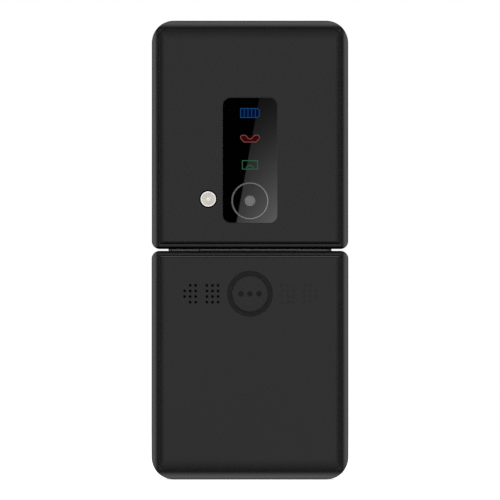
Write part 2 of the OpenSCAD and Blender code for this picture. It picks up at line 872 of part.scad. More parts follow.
module key_mat() {
    color("#3a3a3c") at_base() {
        difference() {
            plate(0, (mat_low + mat_high) / 2, 2 * mat_x, mat_high - mat_low, mat_r, mat_d, mat_d + mat_t);
            post(0, ring_z, mat_hole_r, mat_d - slack, mat_d + mat_t + slack);
            for (p = bosses) post(p.x, p.y, boss_r + seat, mat_d - slack, mat_d + mat_t + slack);
        }
        for (p = concat(number_keys, side_keys))
            post(p.x, p.y, nub_r, mat_d + mat_t - fit, mat_d + mat_t + nub_t);
    }
}

module loudspeaker() {
    speaker_d = cover_d - seat - gasket_t;
    color("#1a1a1b") at_base() {
        plate(-grille_x, alarm_z, speaker_w, speaker_h, speaker_r, bay_d, speaker_d);
        difference() {
            post(-grille_x, alarm_z, speaker_h / 2 - gasket_t, speaker_d - fit, speaker_d + gasket_t);
            post(-grille_x, alarm_z, speaker_h / 2 - gasket_t - gasket_w, speaker_d, cover_d);
        }
    }
}

module alarm_switch() {
    color("#1a1a1b") at_base() {
        block(0, alarm_z, switch_w, switch_w, part_d, part_d + switch_h);
        post(0, alarm_z, plunger_r, part_d + switch_h - fit, part_d + switch_h + plunger_h);
    }
}

module alarm_button() {
    low = cover_d - fit - alarm_flange_t;
    color("#2a2b2d") at_base() {
        post(0, alarm_z, alarm_r, low, base_t - button_sink);
        post(0, alarm_z, alarm_r + alarm_flange_w, low, cover_d - fit);
        post(0, alarm_z, stem_r, part_d + switch_h + plunger_h + alarm_travel + press_gap, low + fit);
    }
}

module vibration_motor() {
    color("#b9bcc0") at_base() post(motor_x, motor_z, motor_r, bay_d, bay_d + motor_t);
}

module base_screws() {
    color("#8d9095") at_base() for (p = bosses) difference() {
        union() {
            post(p.x, p.y, screw_r, face_t + screw_tip, bay_d + fit);
            post(p.x, p.y, screw_head_r, bay_d, bay_d + screw_head_t);
        }
        for (turn = [0, 90]) translate([p.x, p.y, bay_d + screw_head_t]) rotate(turn)
            cube([cross_w, cross_l, 2 * cross_d], center = true);
    }
}

// ---- Hinge ----

// Shaft of the sprung cartridge: a keyed foot in the outer knuckle and a cam inside the can
module hinge_shaft() {
    color("#9a9da2") at_base() {
        on_axis(base_axis_z, -cap_x + cap_plug + seat, left_x - knuckle_gap - fit, cartridge_r);
        on_axis(base_axis_z, left_x - knuckle_gap - 2 * fit, can_x + shaft_l, shaft_r);
        on_axis(base_axis_z, can_x + cam_x, can_x + cam_x + cam_t, cartridge_r - can_wall - run_fit);
    }
}

module hinge_can() {
    color("#83868b") at_lid() difference() {
        on_axis(lid_axis_z, can_x, can_end, cartridge_r);
        on_axis(lid_axis_z, can_x + can_front, can_end - can_wall, cartridge_r - can_wall);
        on_axis(lid_axis_z, can_x - slack, can_x + cam_x, shaft_r + run_fit);
    }
}

// A round wire wound around the hinge axis, as one closed tube
module wound_wire(x0, length, r, wire_r, turns) {
    sides = 6;
    steps = turns * 16;
    rise = length / (360 * turns);
    lean = atan(rise * 180 / PI / r);
    rings = [for (i = [0:steps]) let (a = 360 * turns * i / steps)
        [for (j = [0:sides - 1]) let (b = 360 * j / sides, out = r + wire_r * cos(b), off = wire_r * sin(b))
            [x0 + length * i / steps + off * cos(lean),
             out * cos(a) + off * sin(lean) * sin(a),
             out * sin(a) - off * sin(lean) * cos(a)]]];
    walls = [for (i = [0:steps - 1], j = [0:sides - 1]) let (k = (j + 1) % sides)
        each [[i * sides + j, i * sides + k, (i + 1) * sides + k],
              [i * sides + j, (i + 1) * sides + k, (i + 1) * sides + j]]];
    last = steps * sides;
    ends = [for (j = [1:sides - 2]) each [[0, j + 1, j], [last, last + j, last + j + 1]]];
    polyhedron([for (ring = rings) each ring], concat(walls, ends));
}

module hinge_spring() {
    wire_r = 0.22;
    start = can_x + cam_x + cam_t + cam_gap + wire_r;
    end = can_end - can_wall - wire_r - seat;
    color("#b4b7bb") at_lid() translate([0, lid_axis_z, axis_d])
        wound_wire(start, end - start, cartridge_r - can_wall - wire_r - run_fit, wire_r, 6);
}

// Hollow pin with the collar that shows between two knuckles
module pivot_pin() {
    color("#c3c6ca") at_base() difference() {
        union() {
            on_axis(base_axis_z, pivot_x, cap_x - cap_plug - seat, pivot_r);
            on_axis(base_axis_z, right_x + collar_gap, side_x - collar_gap, barrel_r - groove_d);
        }
        on_axis(base_axis_z, pivot_x - slack, cap_x, wire_bore_r);
        flex_passage(flex_x, housing_high, base_axis_z);
    }
}

// A round piece on the lower half's hinge axis, between two distances from the middle, on one side
module on_side(side, x0, x1, r) {
    on_axis(base_axis_z, side > 0 ? x0 : -x1, side > 0 ? x1 : -x0, r);
}

// End caps with two fine grooves
module hinge_caps() {
    groove_t = 0.18;
    color("#3a3b3e") at_base() for (side = [-1, 1]) {
        on_side(side, cap_x - cap_plug, cap_x + cap_t / 2, pivot_r - seat);
        difference() {
            on_side(side, cap_x, barrel_x, barrel_r);
            for (step = [cap_t / 4, cap_t * 5 / 8]) difference() {
                on_side(side, barrel_x - step - groove_t, barrel_x - step, barrel_r + slack);
                on_side(side, cap_x, barrel_x, barrel_r - groove_d);
            }
        }
    }
}

module base_flex() {
    foot = board_high - lip;
    color("#b5651d") at_base() {
        on_axis(base_axis_z, flex_meet + flex_end_gap, flex_x + flex_w / 2, roll_r);
        translate([flex_x - flex_w / 2, foot, flex_d]) cube([flex_w, base_axis_z - foot, flex_t]);
        translate([flex_x - flex_w / 2, foot, flex_d]) cube([flex_w, flex_t, board_d - flex_d]);
    }
}

module lid_flex() {
    end = hinge_wall + side_gap;
    color("#b5651d") at_lid() {
        on_axis(lid_axis_z, lid_flex_x - flex_w / 2, flex_meet - flex_end_gap, roll_r);
        translate([lid_flex_x - flex_w / 2, lid_axis_z, flex_d]) cube([flex_w, end - lid_axis_z, flex_t]);
        translate([lid_flex_x - flex_w / 2, end - flex_t, flex_d])
            cube([flex_w, flex_t, lid_part_d + flex_t - flex_d]);
        translate([lid_flex_x - flex_w / 2, end - flex_t, lid_part_d]) cube([flex_w, flex_tail, flex_t]);
    }
}

// ---- Keys ----

module key(p, w, h) {
    color("#1c1d1f") at_base() {
        plate(p.x, p.y, w, h, key_r, -key_proud, flange_d + flange_t);
        plate(p.x, p.y, w + 2 * flange_w, h + 2 * flange_w, key_r, flange_d, flange_d + flange_t);
    }
}

// Column and row are counted as the keypad is read, from its upper left
module number_key(column, row) {
    key(number_keys[3 * (3 - row) + 2 - column], key_w, key_h);
}

module side_key(side, up) {
    key([side * side_key_x, ring_z + up * side_key_dz], side_key_w, side_key_h);
}

module select_key() {
    stem_end = dome_d - key_travel - press_gap;
    color("#2b2d30") at_base() {
        post(0, ring_z, select_r, -key_proud, select_d);
        post(0, ring_z, stem_r, select_d - fit, stem_end);
    }
}

module nav_ring() {
    color("#8b8e93") at_base() difference() {
        union() {
            post(0, ring_z, ring_r, -key_proud, ring_flange_d + ring_flange_t);
            post(0, ring_z, ring_r + flange_w, ring_flange_d, ring_flange_d + ring_flange_t);
        }
        post(0, ring_z, ring_in, -key_proud - slack, ring_flange_d + slack);
    }
}

// Rubber web under the ring: it carries the ring on its long axis
module nav_web() {
    d = ring_flange_d + ring_flange_t + web_gap;
    color("#3a3a3c") at_base() difference() {
        block(0, ring_z, web_w, 2 * (ring_dome_r + web_over), d, d + web_t);
        post(0, ring_z, web_hole_r, d - slack, d + slack);
    }
}

// ---- Lid: casing ----

module lid_bezel() {
    color("#26272a") at_lid() difference() {
        union() {
            difference() {
                intersection() {
                    lid_form();
                    slab(0, split_d);
                }
                translate([-bay_x, hinge_wall, bezel_t]) cube([2 * bay_x, lid_high - hinge_wall, split_d]);
            }
            for (p = bumpers_at) intersection() {
                post(p.x, p.y, lid_boss_r, bezel_t - fit, split_d);
                translate([-bay_x - fit, 0, 0]) cube([2 * (bay_x + fit), half_l, split_d]);
            }
            on_axis(lid_axis_z, left_x, right_x, barrel_r);
        }
        for (side = [-1, 1]) on_axis(lid_axis_z, side > 0 ? right_x : -barrel_x - knuckle_gap,
                                     side > 0 ? barrel_x + knuckle_gap : left_x, recess_r);
        on_axis(lid_axis_z, left_x - slack, can_end + fit, cartridge_r + fit);
        on_axis(lid_axis_z, lid_flex_x - flex_w / 2 - flex_slot, right_x, wire_bore_r);
        on_axis(lid_axis_z, pivot_x - seat, right_x + slack, pivot_r + run_fit);
        flex_passage(lid_flex_x, lid_axis_z, hinge_wall + slack / 2);
        block(lid_flex_x, hinge_wall + slack / 4, flex_w + 2 * flex_slot, slack / 2,
              flex_d - flex_slot, bezel_t + slack);
        plate(0, lens_z + lens_l / 2, lens_w + 2 * fit, lens_l + 2 * fit, lens_r + fit,
              -slack, bezel_t - lens_ledge_t);
        block(0, display_z + display_l / 2, view_w, view_l, -slack, bezel_t + slack);
        plate(0, ear_z, ear_slot_w, ear_slot_h, ear_slot_r, -slack, bezel_t + slack);
        for (p = bumpers_at) {
            post(p.x, p.y, bumper_r + fit, -slack, bumper_in + lid_head_t + seat);
            post(p.x, p.y, lid_screw_r + fit, 0, split_d + slack);
        }
    }
}

module lid_frame() {
    color("#26272a") at_lid() difference() {
        union() {
            difference() {
                intersection() {
                    lid_form();
                    slab(split_d, lid_t);
                }
                frame_bay(rim_hinge + cover_ledge, lid_high, lid_t);
            }
            for (p = bumpers_at) intersection() {
                post(p.x, p.y, lid_boss_r, split_d, lid_cover_d - seat);
                translate([-bay_x - fit, 0, 0]) cube([2 * (bay_x + fit), half_l, lid_t]);
            }
        }
        cover_pocket(rim_hinge, half_l - rim_top, lid_cover_d, lid_t, cover_hinge_r, cover_end_r);
        for (p = bumpers_at) post(p.x, p.y, lid_screw_r + fit, split_d - slack,
                                   split_d + lid_screw_l + seat);
    }
}

module lid_cover() {
    low = rim_hinge + groove_w;
    high = half_l - rim_top - groove_w;
    panel_mid = panel_z + panel_l / 2;
    color("#2e2f31") at_lid() difference() {
        union() {
            cover_form(low, high, lid_cover_d, lid_t, crown_hinge, crown_end, cover_hinge_r, cover_end_r);
            cover_tabs(rim_hinge + cover_ledge, lid_high, lid_cover_d);
        }
        plate(0, panel_mid, panel_w + 2 * panel_fit, panel_l + 2 * panel_fit, panel_r + panel_fit,
              panel_d, lid_t + slack);
        plate(0, panel_mid, panel_w - 2 * panel_seat, panel_l - 2 * panel_seat, panel_r - panel_seat,
              lid_cover_d - slack, lid_t);
        post(-torch_x, torch_z, torch_r + fit, lid_cover_d - slack, lid_t + slack);
        post(-torch_x, torch_z, torch_ring_r, lid_t - torch_ring_d, lid_t + slack);
    }
}

// ---- Lid: window, camera and lights ----

module window_panel() {
    color("#0b0b0d") at_lid() difference() {
        plate(0, panel_z + panel_l / 2, panel_w, panel_l, panel_r, panel_d, panel_d + panel_t);
        post(0, camera_z, camera_lens_r + fit, panel_d - slack, lid_t);
        difference() {
            post(0, camera_z, camera_ring_r + camera_ring_w / 2 + fit, panel_d + panel_t - camera_ring_t,
                 lid_t);
            post(0, camera_z, camera_ring_r - camera_ring_w / 2 - fit, panel_d, lid_t + slack);
        }
    }
}

module camera_ring() {
    color("#b7b9bc") at_lid() difference() {
        post(0, camera_z, camera_ring_r + camera_ring_w / 2, panel_d + panel_t - camera_ring_t,
             panel_d + panel_t);
        post(0, camera_z, camera_ring_r - camera_ring_w / 2, panel_d, lid_t + slack);
    }
}

module camera_lens() {
    color("#8a8a8e") at_lid() post(0, camera_z, camera_lens_r, panel_d - panel_gap + fit, panel_d + panel_t);
}

module camera_module() {
    color("#1a1a1b") at_lid() difference() {
        union() {
            block(0, camera_z, camera_w, camera_w, lid_part_d, lid_part_d + camera_body_t);
            post(0, camera_z, camera_barrel_r, lid_part_d, lid_part_d + camera_h);
        }
        post(0, camera_z, camera_well_r, lid_part_d + camera_well_d, lid_part_d + camera_h + slack);
    }
}

module light_guide() {
    color("#d9dde0") at_lid() {
        for (z = icon_z) block(0, z, guide_w, guide_h, lid_part_d + led_t + seat, panel_d - seat);
        block(guide_w / 2, (icon_z[0] + icon_z[2]) / 2, guide_rib, icon_z[2] - icon_z[0],
              lid_part_d + led_t + seat, panel_d - 2 * seat);
    }
}

module lid_lights() {
    color("#e8e2b8") at_lid() {
        for (z = icon_z) block(0, z, led_w, led_w / 2, lid_part_d, lid_part_d + led_t);
        block(-torch_x, torch_z, torch_led_w, torch_led_w, lid_part_d, lid_part_d + torch_led_t);
    }
}

module torch_lens() {
    color("#f2ead8") at_lid() {
        post(-torch_x, torch_z, torch_r, lid_part_d + torch_led_t + seat, lid_t - 0.05);
        translate([0, 0, lid_cover_d - fit - torch_flange_t])
            post(-torch_x, torch_z, torch_r + torch_flange_w, 0, torch_flange_t);
    }
}

// ---- Lid: display side ----

module display_module() {
    color("#30343a") at_lid()
        plate(0, display_z + display_l / 2, display_w, display_l, display_r,
              display_d, display_d + display_t);
}

module display_lens() {
    color("#101113") at_lid() difference() {
        plate(0, lens_z + lens_l / 2, lens_w, lens_l, lens_r, lens_sink, lens_sink + lens_t);
        plate(0, ear_z, ear_slot_w, ear_slot_h, ear_slot_r, -slack, bezel_t);
    }
}

module earpiece() {
    color("#b9bcc0") at_lid() difference() {
        plate(0, ear_z, ear_w, ear_h, ear_r, bezel_t, bezel_t + ear_t);
        plate(0, ear_z, ear_slot_w, ear_slot_h, ear_slot_r, bezel_t - slack, bezel_t + ear_port_d);
    }
}

module lid_board() {
    color("#1d5b34") at_lid()
        block(0, lid_board_low + lid_board_h / 2, lid_board_w, lid_board_h, lid_board_d, lid_part_d);
}

module closing_magnet() {
    color("#c3c6ca") at_lid() 
        block(magnet_x, ear_z, magnet_w, magnet_h, bezel_t, bezel_t + magnet_t);
}

module lid_screws() {
    head_d = bumper_in + fit;
    color("#8d9095") at_lid() for (p = bumpers_at) difference() {
        union() {
            post(p.x, p.y, lid_screw_r, head_d, split_d + lid_screw_l);
            post(p.x, p.y, bumper_r - seat, head_d, head_d + lid_head_t);
        }
        for (turn = [0, 90]) translate([p.x, p.y, head_d]) rotate(turn)
            cube([lid_cross_w, lid_cross_l, 2 * lid_cross_d], center = true);
    }
}

module bumpers() {
    color("#3a3a3c") at_lid() for (p = bumpers_at) post(p.x, p.y, bumper_r, -bumper_t, bumper_in);
}

keypad_housing();
base_frame();
rear_cover();
battery();
battery_contacts();
main_board();
shield_cans();
card_sockets();
charging_socket();
microphone();
key_domes();
key_mat();
loudspeaker();
alarm_switch();
vibration_motor();
base_screws();
hinge_shaft();
pivot_pin();
hinge_caps();
base_flex();
alarm_button();
number_key(0, 0);  // key_1
number_key(1, 0);  // key_2
number_key(2, 0);  // key_3
number_key(0, 1);  // key_4
number_key(1, 1);  // key_5
number_key(2, 1);  // key_6
number_key(0, 2);  // key_7
number_key(1, 2);  // key_8
number_key(2, 2);  // key_9
number_key(0, 3);  // key_star
number_key(1, 3);  // key_0
number_key(2, 3);  // key_hash
side_key(1, 1);  // soft_key_left
side_key(-1, 1);  // soft_key_right
side_key(1, -1);  // call_key
side_key(-1, -1);  // end_key
select_key();
nav_web();
nav_ring();
lid_bezel();
lid_frame();
lid_cover();
window_panel();
light_guide();
lid_lights();
camera_ring();
camera_lens();
camera_module();
torch_lens();
display_module();
display_lens();
earpiece();
lid_board();
lid_flex();
closing_magnet();
lid_screws();
bumpers();
hinge_can();
hinge_spring();
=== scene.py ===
"""Looks of a flip phone that stands open: its finishes, key caps, signs, lenses and the studio around it.

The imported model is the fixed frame. Lengths are in metres, +Z is up, the backs of both halves face -Y,
and the keypad and the display face +Y.
"""

import logging
import math
from abc import ABC, abstractmethod
from dataclasses import dataclass, field
from enum import Enum
from typing import Optional, Sequence

import bmesh
import bpy
from mathutils import Matrix, Vector


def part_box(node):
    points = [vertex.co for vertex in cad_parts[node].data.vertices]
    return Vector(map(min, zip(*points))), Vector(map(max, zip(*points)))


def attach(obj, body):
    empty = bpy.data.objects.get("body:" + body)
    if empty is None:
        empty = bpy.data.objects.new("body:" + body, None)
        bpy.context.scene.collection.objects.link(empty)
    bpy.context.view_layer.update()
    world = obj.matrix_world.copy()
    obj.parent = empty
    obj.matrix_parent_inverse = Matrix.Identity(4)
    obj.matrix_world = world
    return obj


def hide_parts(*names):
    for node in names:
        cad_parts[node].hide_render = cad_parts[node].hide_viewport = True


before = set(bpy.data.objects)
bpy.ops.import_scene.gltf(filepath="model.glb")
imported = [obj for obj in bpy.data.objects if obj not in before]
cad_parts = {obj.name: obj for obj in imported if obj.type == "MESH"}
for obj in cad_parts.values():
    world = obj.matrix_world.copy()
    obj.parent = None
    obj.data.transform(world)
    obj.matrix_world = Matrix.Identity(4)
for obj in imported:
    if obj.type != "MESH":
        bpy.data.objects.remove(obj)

LOG = logging.getLogger("flip_phone")
MM = 0.001
CIRCLE_STEPS = 96
CORNER_STEPS = 8
EDGE_STEPS = 5
BEVEL_SAMPLES = 8
NOISE_MIDDLE = (0.3, 0.7)
EDGE_GAIN = 6.0
MITRE_LIMIT = 0.4
LEAST_RADIUS = 1e-5
LEAST_FLAT = 1e-6
SENSOR_WIDTH = 36.0

Color = tuple[float, float, float]
Place = tuple[float, float, float]
Socket = bpy.types.NodeSocket
Point2 = tuple[float, float]


class Facing(Enum):
    """The side that a mark is read from."""

    BACK = -1
    KEYPAD = 1


class Half(Enum):
    """The body that carries each half of the phone."""

    LOWER = "base"
    LID = "lid"


# ---- Finishes ----


class NodeWork:
    """A node tree, with short calls for the nodes that finishes and surroundings share."""

    def __init__(self, tree: bpy.types.NodeTree) -> None:
        """Empty a material's or the world's node tree."""
        self.tree = tree
        tree.nodes.clear()

    def plug(self, socket: Socket, value: object) -> None:
        """Link a socket to an input, or set the input to a plain value."""
        if isinstance(value, bpy.types.NodeSocket):
            self.tree.links.new(value, socket)
        else:
            socket.default_value = value

    def node(self, kind: str, **inputs: object) -> bpy.types.Node:
        """Add a node.

        Args:
            kind: The node's Blender type.
            inputs: Values or sockets for its inputs, by name, with underscores for spaces.

        Returns:
            The new node.
        """
        made = self.tree.nodes.new(kind)
        for name, value in inputs.items():
            self.plug(made.inputs[name.replace("_", " ")], value)
        return made

    def math(self, operation: str, *values: object) -> Socket:
        """Add a math node and return its result."""
        made = self.tree.nodes.new("ShaderNodeMath")
        made.operation = operation
        for socket, value in zip(made.inputs, values):
            self.plug(socket, value)
        return made.outputs[0]

    def product(self, first: object, *others: object) -> Socket:
        """Multiply several values."""
        for other in others:
            first = self.math("MULTIPLY", first, other)
        return first

    def span(self, value: Socket, source: Point2, target: Point2, smooth: bool = False) -> Socket:
        """Carry a value from one range over to another, and hold it at the ends.

        Args:
            value: The value.
            source: The range that it comes from.
            target: The range that it goes to.
            smooth: Whether it eases in and out at the ends.

        Returns:
            The carried value.
        """
        made = self.node("ShaderNodeMapRange", Value=value)
        made.interpolation_type = "SMOOTHSTEP" if smooth else "LINEAR"
        for name, number in zip(("From Min", "From Max", "To Min", "To Max"), source + target):
            made.inputs[name].default_value = number
        return made.outputs[0]

    def split(self, vector: Socket) -> list[Socket]:
        """The three parts of a vector."""
        return list(self.node("ShaderNodeSeparateXYZ", Vector=vector).outputs)


class Shader(NodeWork):
    """A material's node tree around one principled shader."""

    def __init__(self, name: str) -> None:
        """Start a material of this name."""
        self.material = bpy.data.materials.new(name)
        self.material.use_nodes = True
        super().__init__(self.material.node_tree)
        self.surface = self.tree.nodes.new("ShaderNodeBsdfPrincipled")
        self.output = self.tree.nodes.new("ShaderNodeOutputMaterial")
        self.plug(self.output.inputs[0], self.surface.outputs[0])
        self._place: Optional[Socket] = None

    def set(self, **values: float) -> None:
        """Set the shader's own sockets; an underscore in a name stands for a space."""
        for name, value in values.items():
            self.surface.inputs[name.replace("_", " ")].default_value = value

    def color(self, socket: str, value: Color) -> None:
        """Set one of the shader's color sockets."""
        self.surface.inputs[socket].default_value = (*value, 1.0)

    def place(self) -> Socket:
        """Coordinates in metres that stay with the piece."""
        if self._place is None:
            self._place = self.tree.nodes.new("ShaderNodeTexCoord").outputs["Object"]
        return self._place

    def noise(self, scale: float, detail: float = 2.0, stretch: Color = (1.0, 1.0, 1.0)) -> Socket:
        """Add a noise pattern.

        Args:
            scale: How many of its features fit in a metre.
            detail: Octaves of finer noise.
            stretch: Scale along each axis, for brushed and rolled surfaces.

        Returns:
            The pattern's value.
        """
        mapping = self.node("ShaderNodeMapping", Vector=self.place())
        mapping.inputs["Scale"].default_value = stretch
        made = self.node("ShaderNodeTexNoise", Vector=mapping.outputs[0], Scale=scale, Detail=detail)
        return made.outputs[0]

    def remap(self, value: Socket, low: float, high: float) -> Socket:
        """Spread a noise pattern's middle values over a new range."""
        return self.span(value, NOISE_MIDDLE, (low, high))

    def vary(self, value: Socket, middle: float, reach: float) -> Socket:
        """Spread a noise pattern's middle values evenly around one value."""
        return self.remap(value, middle - reach, middle + reach)

    def mix(self, factor: object, first: object, second: object) -> Socket:
        """Blend two colors by a pattern.

        Args:
            factor: How much of the second color shows.
            first: A color or a color's socket.
            second: A color or a color's socket.

        Returns:
            The blended color.
        """
        made = self.tree.nodes.new("ShaderNodeMix")
        made.data_type = "RGBA"
        self.plug(made.inputs[0], factor)
        for socket, color in ((made.inputs[6], first), (made.inputs[7], second)):
            self.plug(socket, (*color, 1.0) if isinstance(color, tuple) else color)
        return made.outputs[2]

    def rounded_normal(self, radius: float) -> Socket:
        """A normal that softens sharp edges."""
        made = self.tree.nodes.new("ShaderNodeBevel")
        made.samples = BEVEL_SAMPLES
        made.inputs["Radius"].default_value = radius
        return made.outputs[0]

    def edge_mask(self, radius: float) -> Socket:
        """One along sharp edges and zero on the flats."""
        soft = self.rounded_normal(radius)
        true_normal = self.tree.nodes.new("ShaderNodeNewGeometry").outputs["Normal"]
        dot = self.tree.nodes.new("ShaderNodeVectorMath")
        dot.operation = "DOT_PRODUCT"
        self.plug(dot.inputs[0], soft)
        self.plug(dot.inputs[1], true_normal)
        worn = self.product(self.math("SUBTRACT", 1.0, dot.outputs["Value"]), EDGE_GAIN)
        return self.math("MINIMUM", worn, 1.0)

    def bump(self, height: Socket, depth: float, normal: Optional[Socket] = None) -> Socket:
        """Raise the surface by a pattern.

        Args:
            height: The pattern.
            depth: The height of its relief, in metres.
            normal: The normal to start from.

        Returns:
            The new normal.
        """
        made = self.node("ShaderNodeBump", Height=height, Strength=1.0, Distance=depth)
        if normal is not None:
            self.plug(made.inputs["Normal"], normal)
        return made.outputs[0]

    def finish(self, color: object = None, roughness: object = None,
               normal: object = None) -> bpy.types.Material:
        """Plug what varies over the surface and return the material.

        Args:
            color: A socket for the base color.
            roughness: A socket for the roughness.
            normal: A socket for the normal.

        Returns:
            The finished material.
        """
        for name, value in (("Base Color", color), ("Roughness", roughness), ("Normal", normal)):
            if value is not None:
                self.plug(self.surface.inputs[name], value)
        return self.material


def shaded(color: Color, factor: float) -> Color:
    """A darker or lighter tone of a color."""
    return tuple(c * factor for c in color)


@dataclass(frozen=True)
class Finish(ABC):
    """A finish that makes its material once and then hands it out."""

    name: str

    @abstractmethod
    def build(self, made: Shader) -> bpy.types.Material:
        """Make the material on its new shader."""

    def material(self) -> bpy.types.Material:
        """The finish's material, made when it is first asked for."""
        return bpy.data.materials.get(self.name) or self.build(Shader(self.name))


@dataclass(frozen=True)
class MouldedPlastic(Finish):
    """Moulded plastic with a fine spark-eroded grain, a little worn along its edges."""

    color: Color
    roughness: float = 0.4
    specular: float = 0.5
    grain: float = 0.0000005
    edge: float = 0.12 * MM
    wear: float = 0.3
    unevenness: float = 0.03

    def tone(self, made: Shader) -> Socket:
        """The color with its slow clouds and worn edges."""
        lighter = tuple(c * (1 + self.wear) + 0.001 for c in self.color)
        cloud = made.remap(made.noise(40.0, 3.0), -0.4, 0.5)
        worn = made.product(made.edge_mask(self.edge * 2), 0.8)
        return made.mix(made.math("MAXIMUM", made.math("ADD", cloud, worn), 0.0), self.color, lighter)

    def spread(self, made: Shader) -> Socket:
        """The roughness with its fine variation."""
        return made.vary(made.noise(2500.0), self.roughness, self.unevenness)

    def grained(self, made: Shader) -> Socket:
        """The normal with its soft edges and its grain."""
        return made.bump(made.noise(5200.0), self.grain, made.rounded_normal(self.edge))

    def build(self, made: Shader) -> bpy.types.Material:
        """Make the grain, the slow changes of tone and the worn edges."""
        made.set(Specular_IOR_Level=self.specular)
        return made.finish(self.tone(made), self.spread(made), self.grained(made))


@dataclass(frozen=True)
class BarrelCasing(MouldedPlastic):
    """Casing plastic with a paler satin hinge barrel, and matte at the bottom of its seams."""

    barrel_color: Color = (0.20, 0.20, 0.204)
    barrel_roughness: float = 0.24
    barrel_radius: float = 3.2 * MM
    axis: Point2 = (3.6 * MM, 67.71 * MM)
    tolerance: float = 0.08 * MM
    seams: tuple[float, ...] = (-2.7 * MM, -5.7 * MM)
    seam_width: float = 0.02 * MM
    seam_roughness: float = 0.6

    def build(self, made: Shader) -> bpy.types.Material:
        """Make the plastic, and the satin wherever the surface lies on the barrel."""
        made.set(Specular_IOR_Level=self.specular)
        _, y, z = made.split(made.place())
        off_y, off_z = (made.math("SUBTRACT", part, middle) for part, middle in zip((y, z), self.axis))
        square = made.math("ADD", made.product(off_y, off_y), made.product(off_z, off_z))
        off = made.math("ABSOLUTE", made.math("SUBTRACT", made.math("SQRT", square), self.barrel_radius))
        barrel = made.math("LESS_THAN", off, self.tolerance)
        color = made.mix(barrel, self.tone(made), self.barrel_color)
        made.plug(made.surface.inputs["Metallic"], barrel)
        smooth = made.vary(made.noise(1800.0), self.barrel_roughness, self.unevenness)
        spread = self.spread(made)
        rough = made.math("ADD", spread, made.product(barrel, made.math("SUBTRACT", smooth, spread)))
        for depth in self.seams:
            away = made.math("ABSOLUTE", made.math("SUBTRACT", y, depth))
            seam = made.math("LESS_THAN", away, self.seam_width)
            rough = made.math("ADD", rough, made.product(seam, self.seam_roughness))
        return made.finish(color, rough, self.grained(made))


@dataclass(frozen=True)
class PolishedPlastic(Finish):
    """Hard polished plastic or cover glass, with faint wipe marks."""

    color: Color
    roughness: float = 0.05
    specular: float = 0.5
    edge: float = 0.00015

    def build(self, made: Shader) -> bpy.types.Material:
        """Make the gloss and its wipe marks."""
        made.set(Specular_IOR_Level=self.specular)
        smear = made.noise(90.0, 4.0, (1.0, 1.0, 0.25))
        spread = made.remap(smear, self.roughness * 0.8, self.roughness * 1.3)
        tone = made.mix(smear, self.color, shaded(self.color, 0.7))
        return made.finish(tone, spread, made.rounded_normal(self.edge))


@dataclass(frozen=True)
class DisplayGlass(Finish):
    """Cover glass with a printed black border around a dark display."""

    border: Color
    panel: Color
    middle: tuple[float, float]
    size: tuple[float, float]

    def build(self, made: Shader) -> bpy.types.Material:
        """Make the border, the panel behind it and the fine lines of its pixels."""
        made.set(Specular_IOR_Level=0.5)
        x, _, z = made.split(made.place())
        inside = []
        for socket, centre, width in ((x, self.middle[0], self.size[0]), (z, self.middle[1], self.size[1])):
            offset = made.math("ABSOLUTE", made.math("SUBTRACT", socket, centre))
            inside.append(made.math("LESS_THAN", offset, width / 2))
        line = made.product(made.math("PINGPONG", x, 0.09 * MM), 2200.0)
        glow = made.product(*inside, made.math("ADD", 0.8, line))
        spread = made.remap(made.noise(70.0, 4.0), 0.02, 0.035)
        return made.finish(made.mix(glow, self.border, self.panel), spread, made.rounded_normal(0.0002))


@dataclass(frozen=True)
class BrushedMetal(Finish):
    """Metal with fine lines along one axis."""

    color: Color
    roughness: float = 0.32
    lines: Color = (0.04, 1.0, 1.0)
    relief: float = 0.000004
    metallic: float = 1.0
    unevenness: float = 0.07

    def build(self, made: Shader) -> bpy.types.Material:
        """Make the lines and the uneven sheen that goes with them."""
        made.set(Metallic=self.metallic)
        brushed = made.noise(3200.0, 3.0, self.lines)
        spread = made.vary(brushed, self.roughness, self.unevenness)
        normal = made.bump(brushed, self.relief, made.rounded_normal(0.00006))
        return made.finish(made.mix(brushed, self.color, shaded(self.color, 0.82)), spread, normal)


@dataclass(frozen=True)
class SatinPaint(Finish):
    """Metallic paint with fine flakes under a satin lacquer."""

    color: Color
    roughness: float = 0.38

    def build(self, made: Shader) -> bpy.types.Material:
        """Make the flakes and the lacquer."""
        made.set(Metallic=0.55, Coat_Weight=0.35, Coat_Roughness=0.25)
        cells = made.node("ShaderNodeTexVoronoi", Vector=made.place(), Scale=9000.0)
        flake = made.math("MULTIPLY", cells.outputs["Distance"], 1.2)
        brighter = tuple(min(c * 1.35, 1.0) for c in self.color)
        spread = made.vary(made.noise(1500.0), self.roughness, 0.05)
        return made.finish(made.mix(flake, brighter, self.color), spread, made.rounded_normal(0.00012))


@dataclass(frozen=True)
class SoftRubber(Finish):
    """Matte rubber with a dusty bloom."""

    color: Color

    def build(self, made: Shader) -> bpy.types.Material:
        """Make the bloom and the fine pores."""
        made.set(Specular_IOR_Level=0.3, Sheen_Weight=0.08, Sheen_Roughness=0.6)
        bloom = made.noise(260.0, 4.0)
        paler = tuple(c * 1.5 + 0.005 for c in self.color)
        normal = made.bump(made.noise(6000.0), 0.00001, made.rounded_normal(0.00008))
        return made.finish(made.mix(bloom, self.color, paler), made.remap(bloom, 0.7, 0.85), normal)


@dataclass(frozen=True)
class BoardLacquer(Finish):
    """Circuit board lacquer over copper tracks."""

    color: Color
    track: Color

    def build(self, made: Shader) -> bpy.types.Material:
        """Make the tracks that show through the lacquer."""
        made.set(Coat_Weight=0.4, Coat_Roughness=0.2)
        cells = made.node("ShaderNodeTexVoronoi", Vector=made.place(), Scale=420.0)
        cells.distance = "MANHATTAN"
        tracks = made.math("LESS_THAN", cells.outputs["Distance"], 0.28)
        normal = made.bump(tracks, 0.00002)
        spread = made.remap(made.noise(900.0), 0.3, 0.42)
        return made.finish(made.mix(tracks, self.color, self.track), spread, normal)


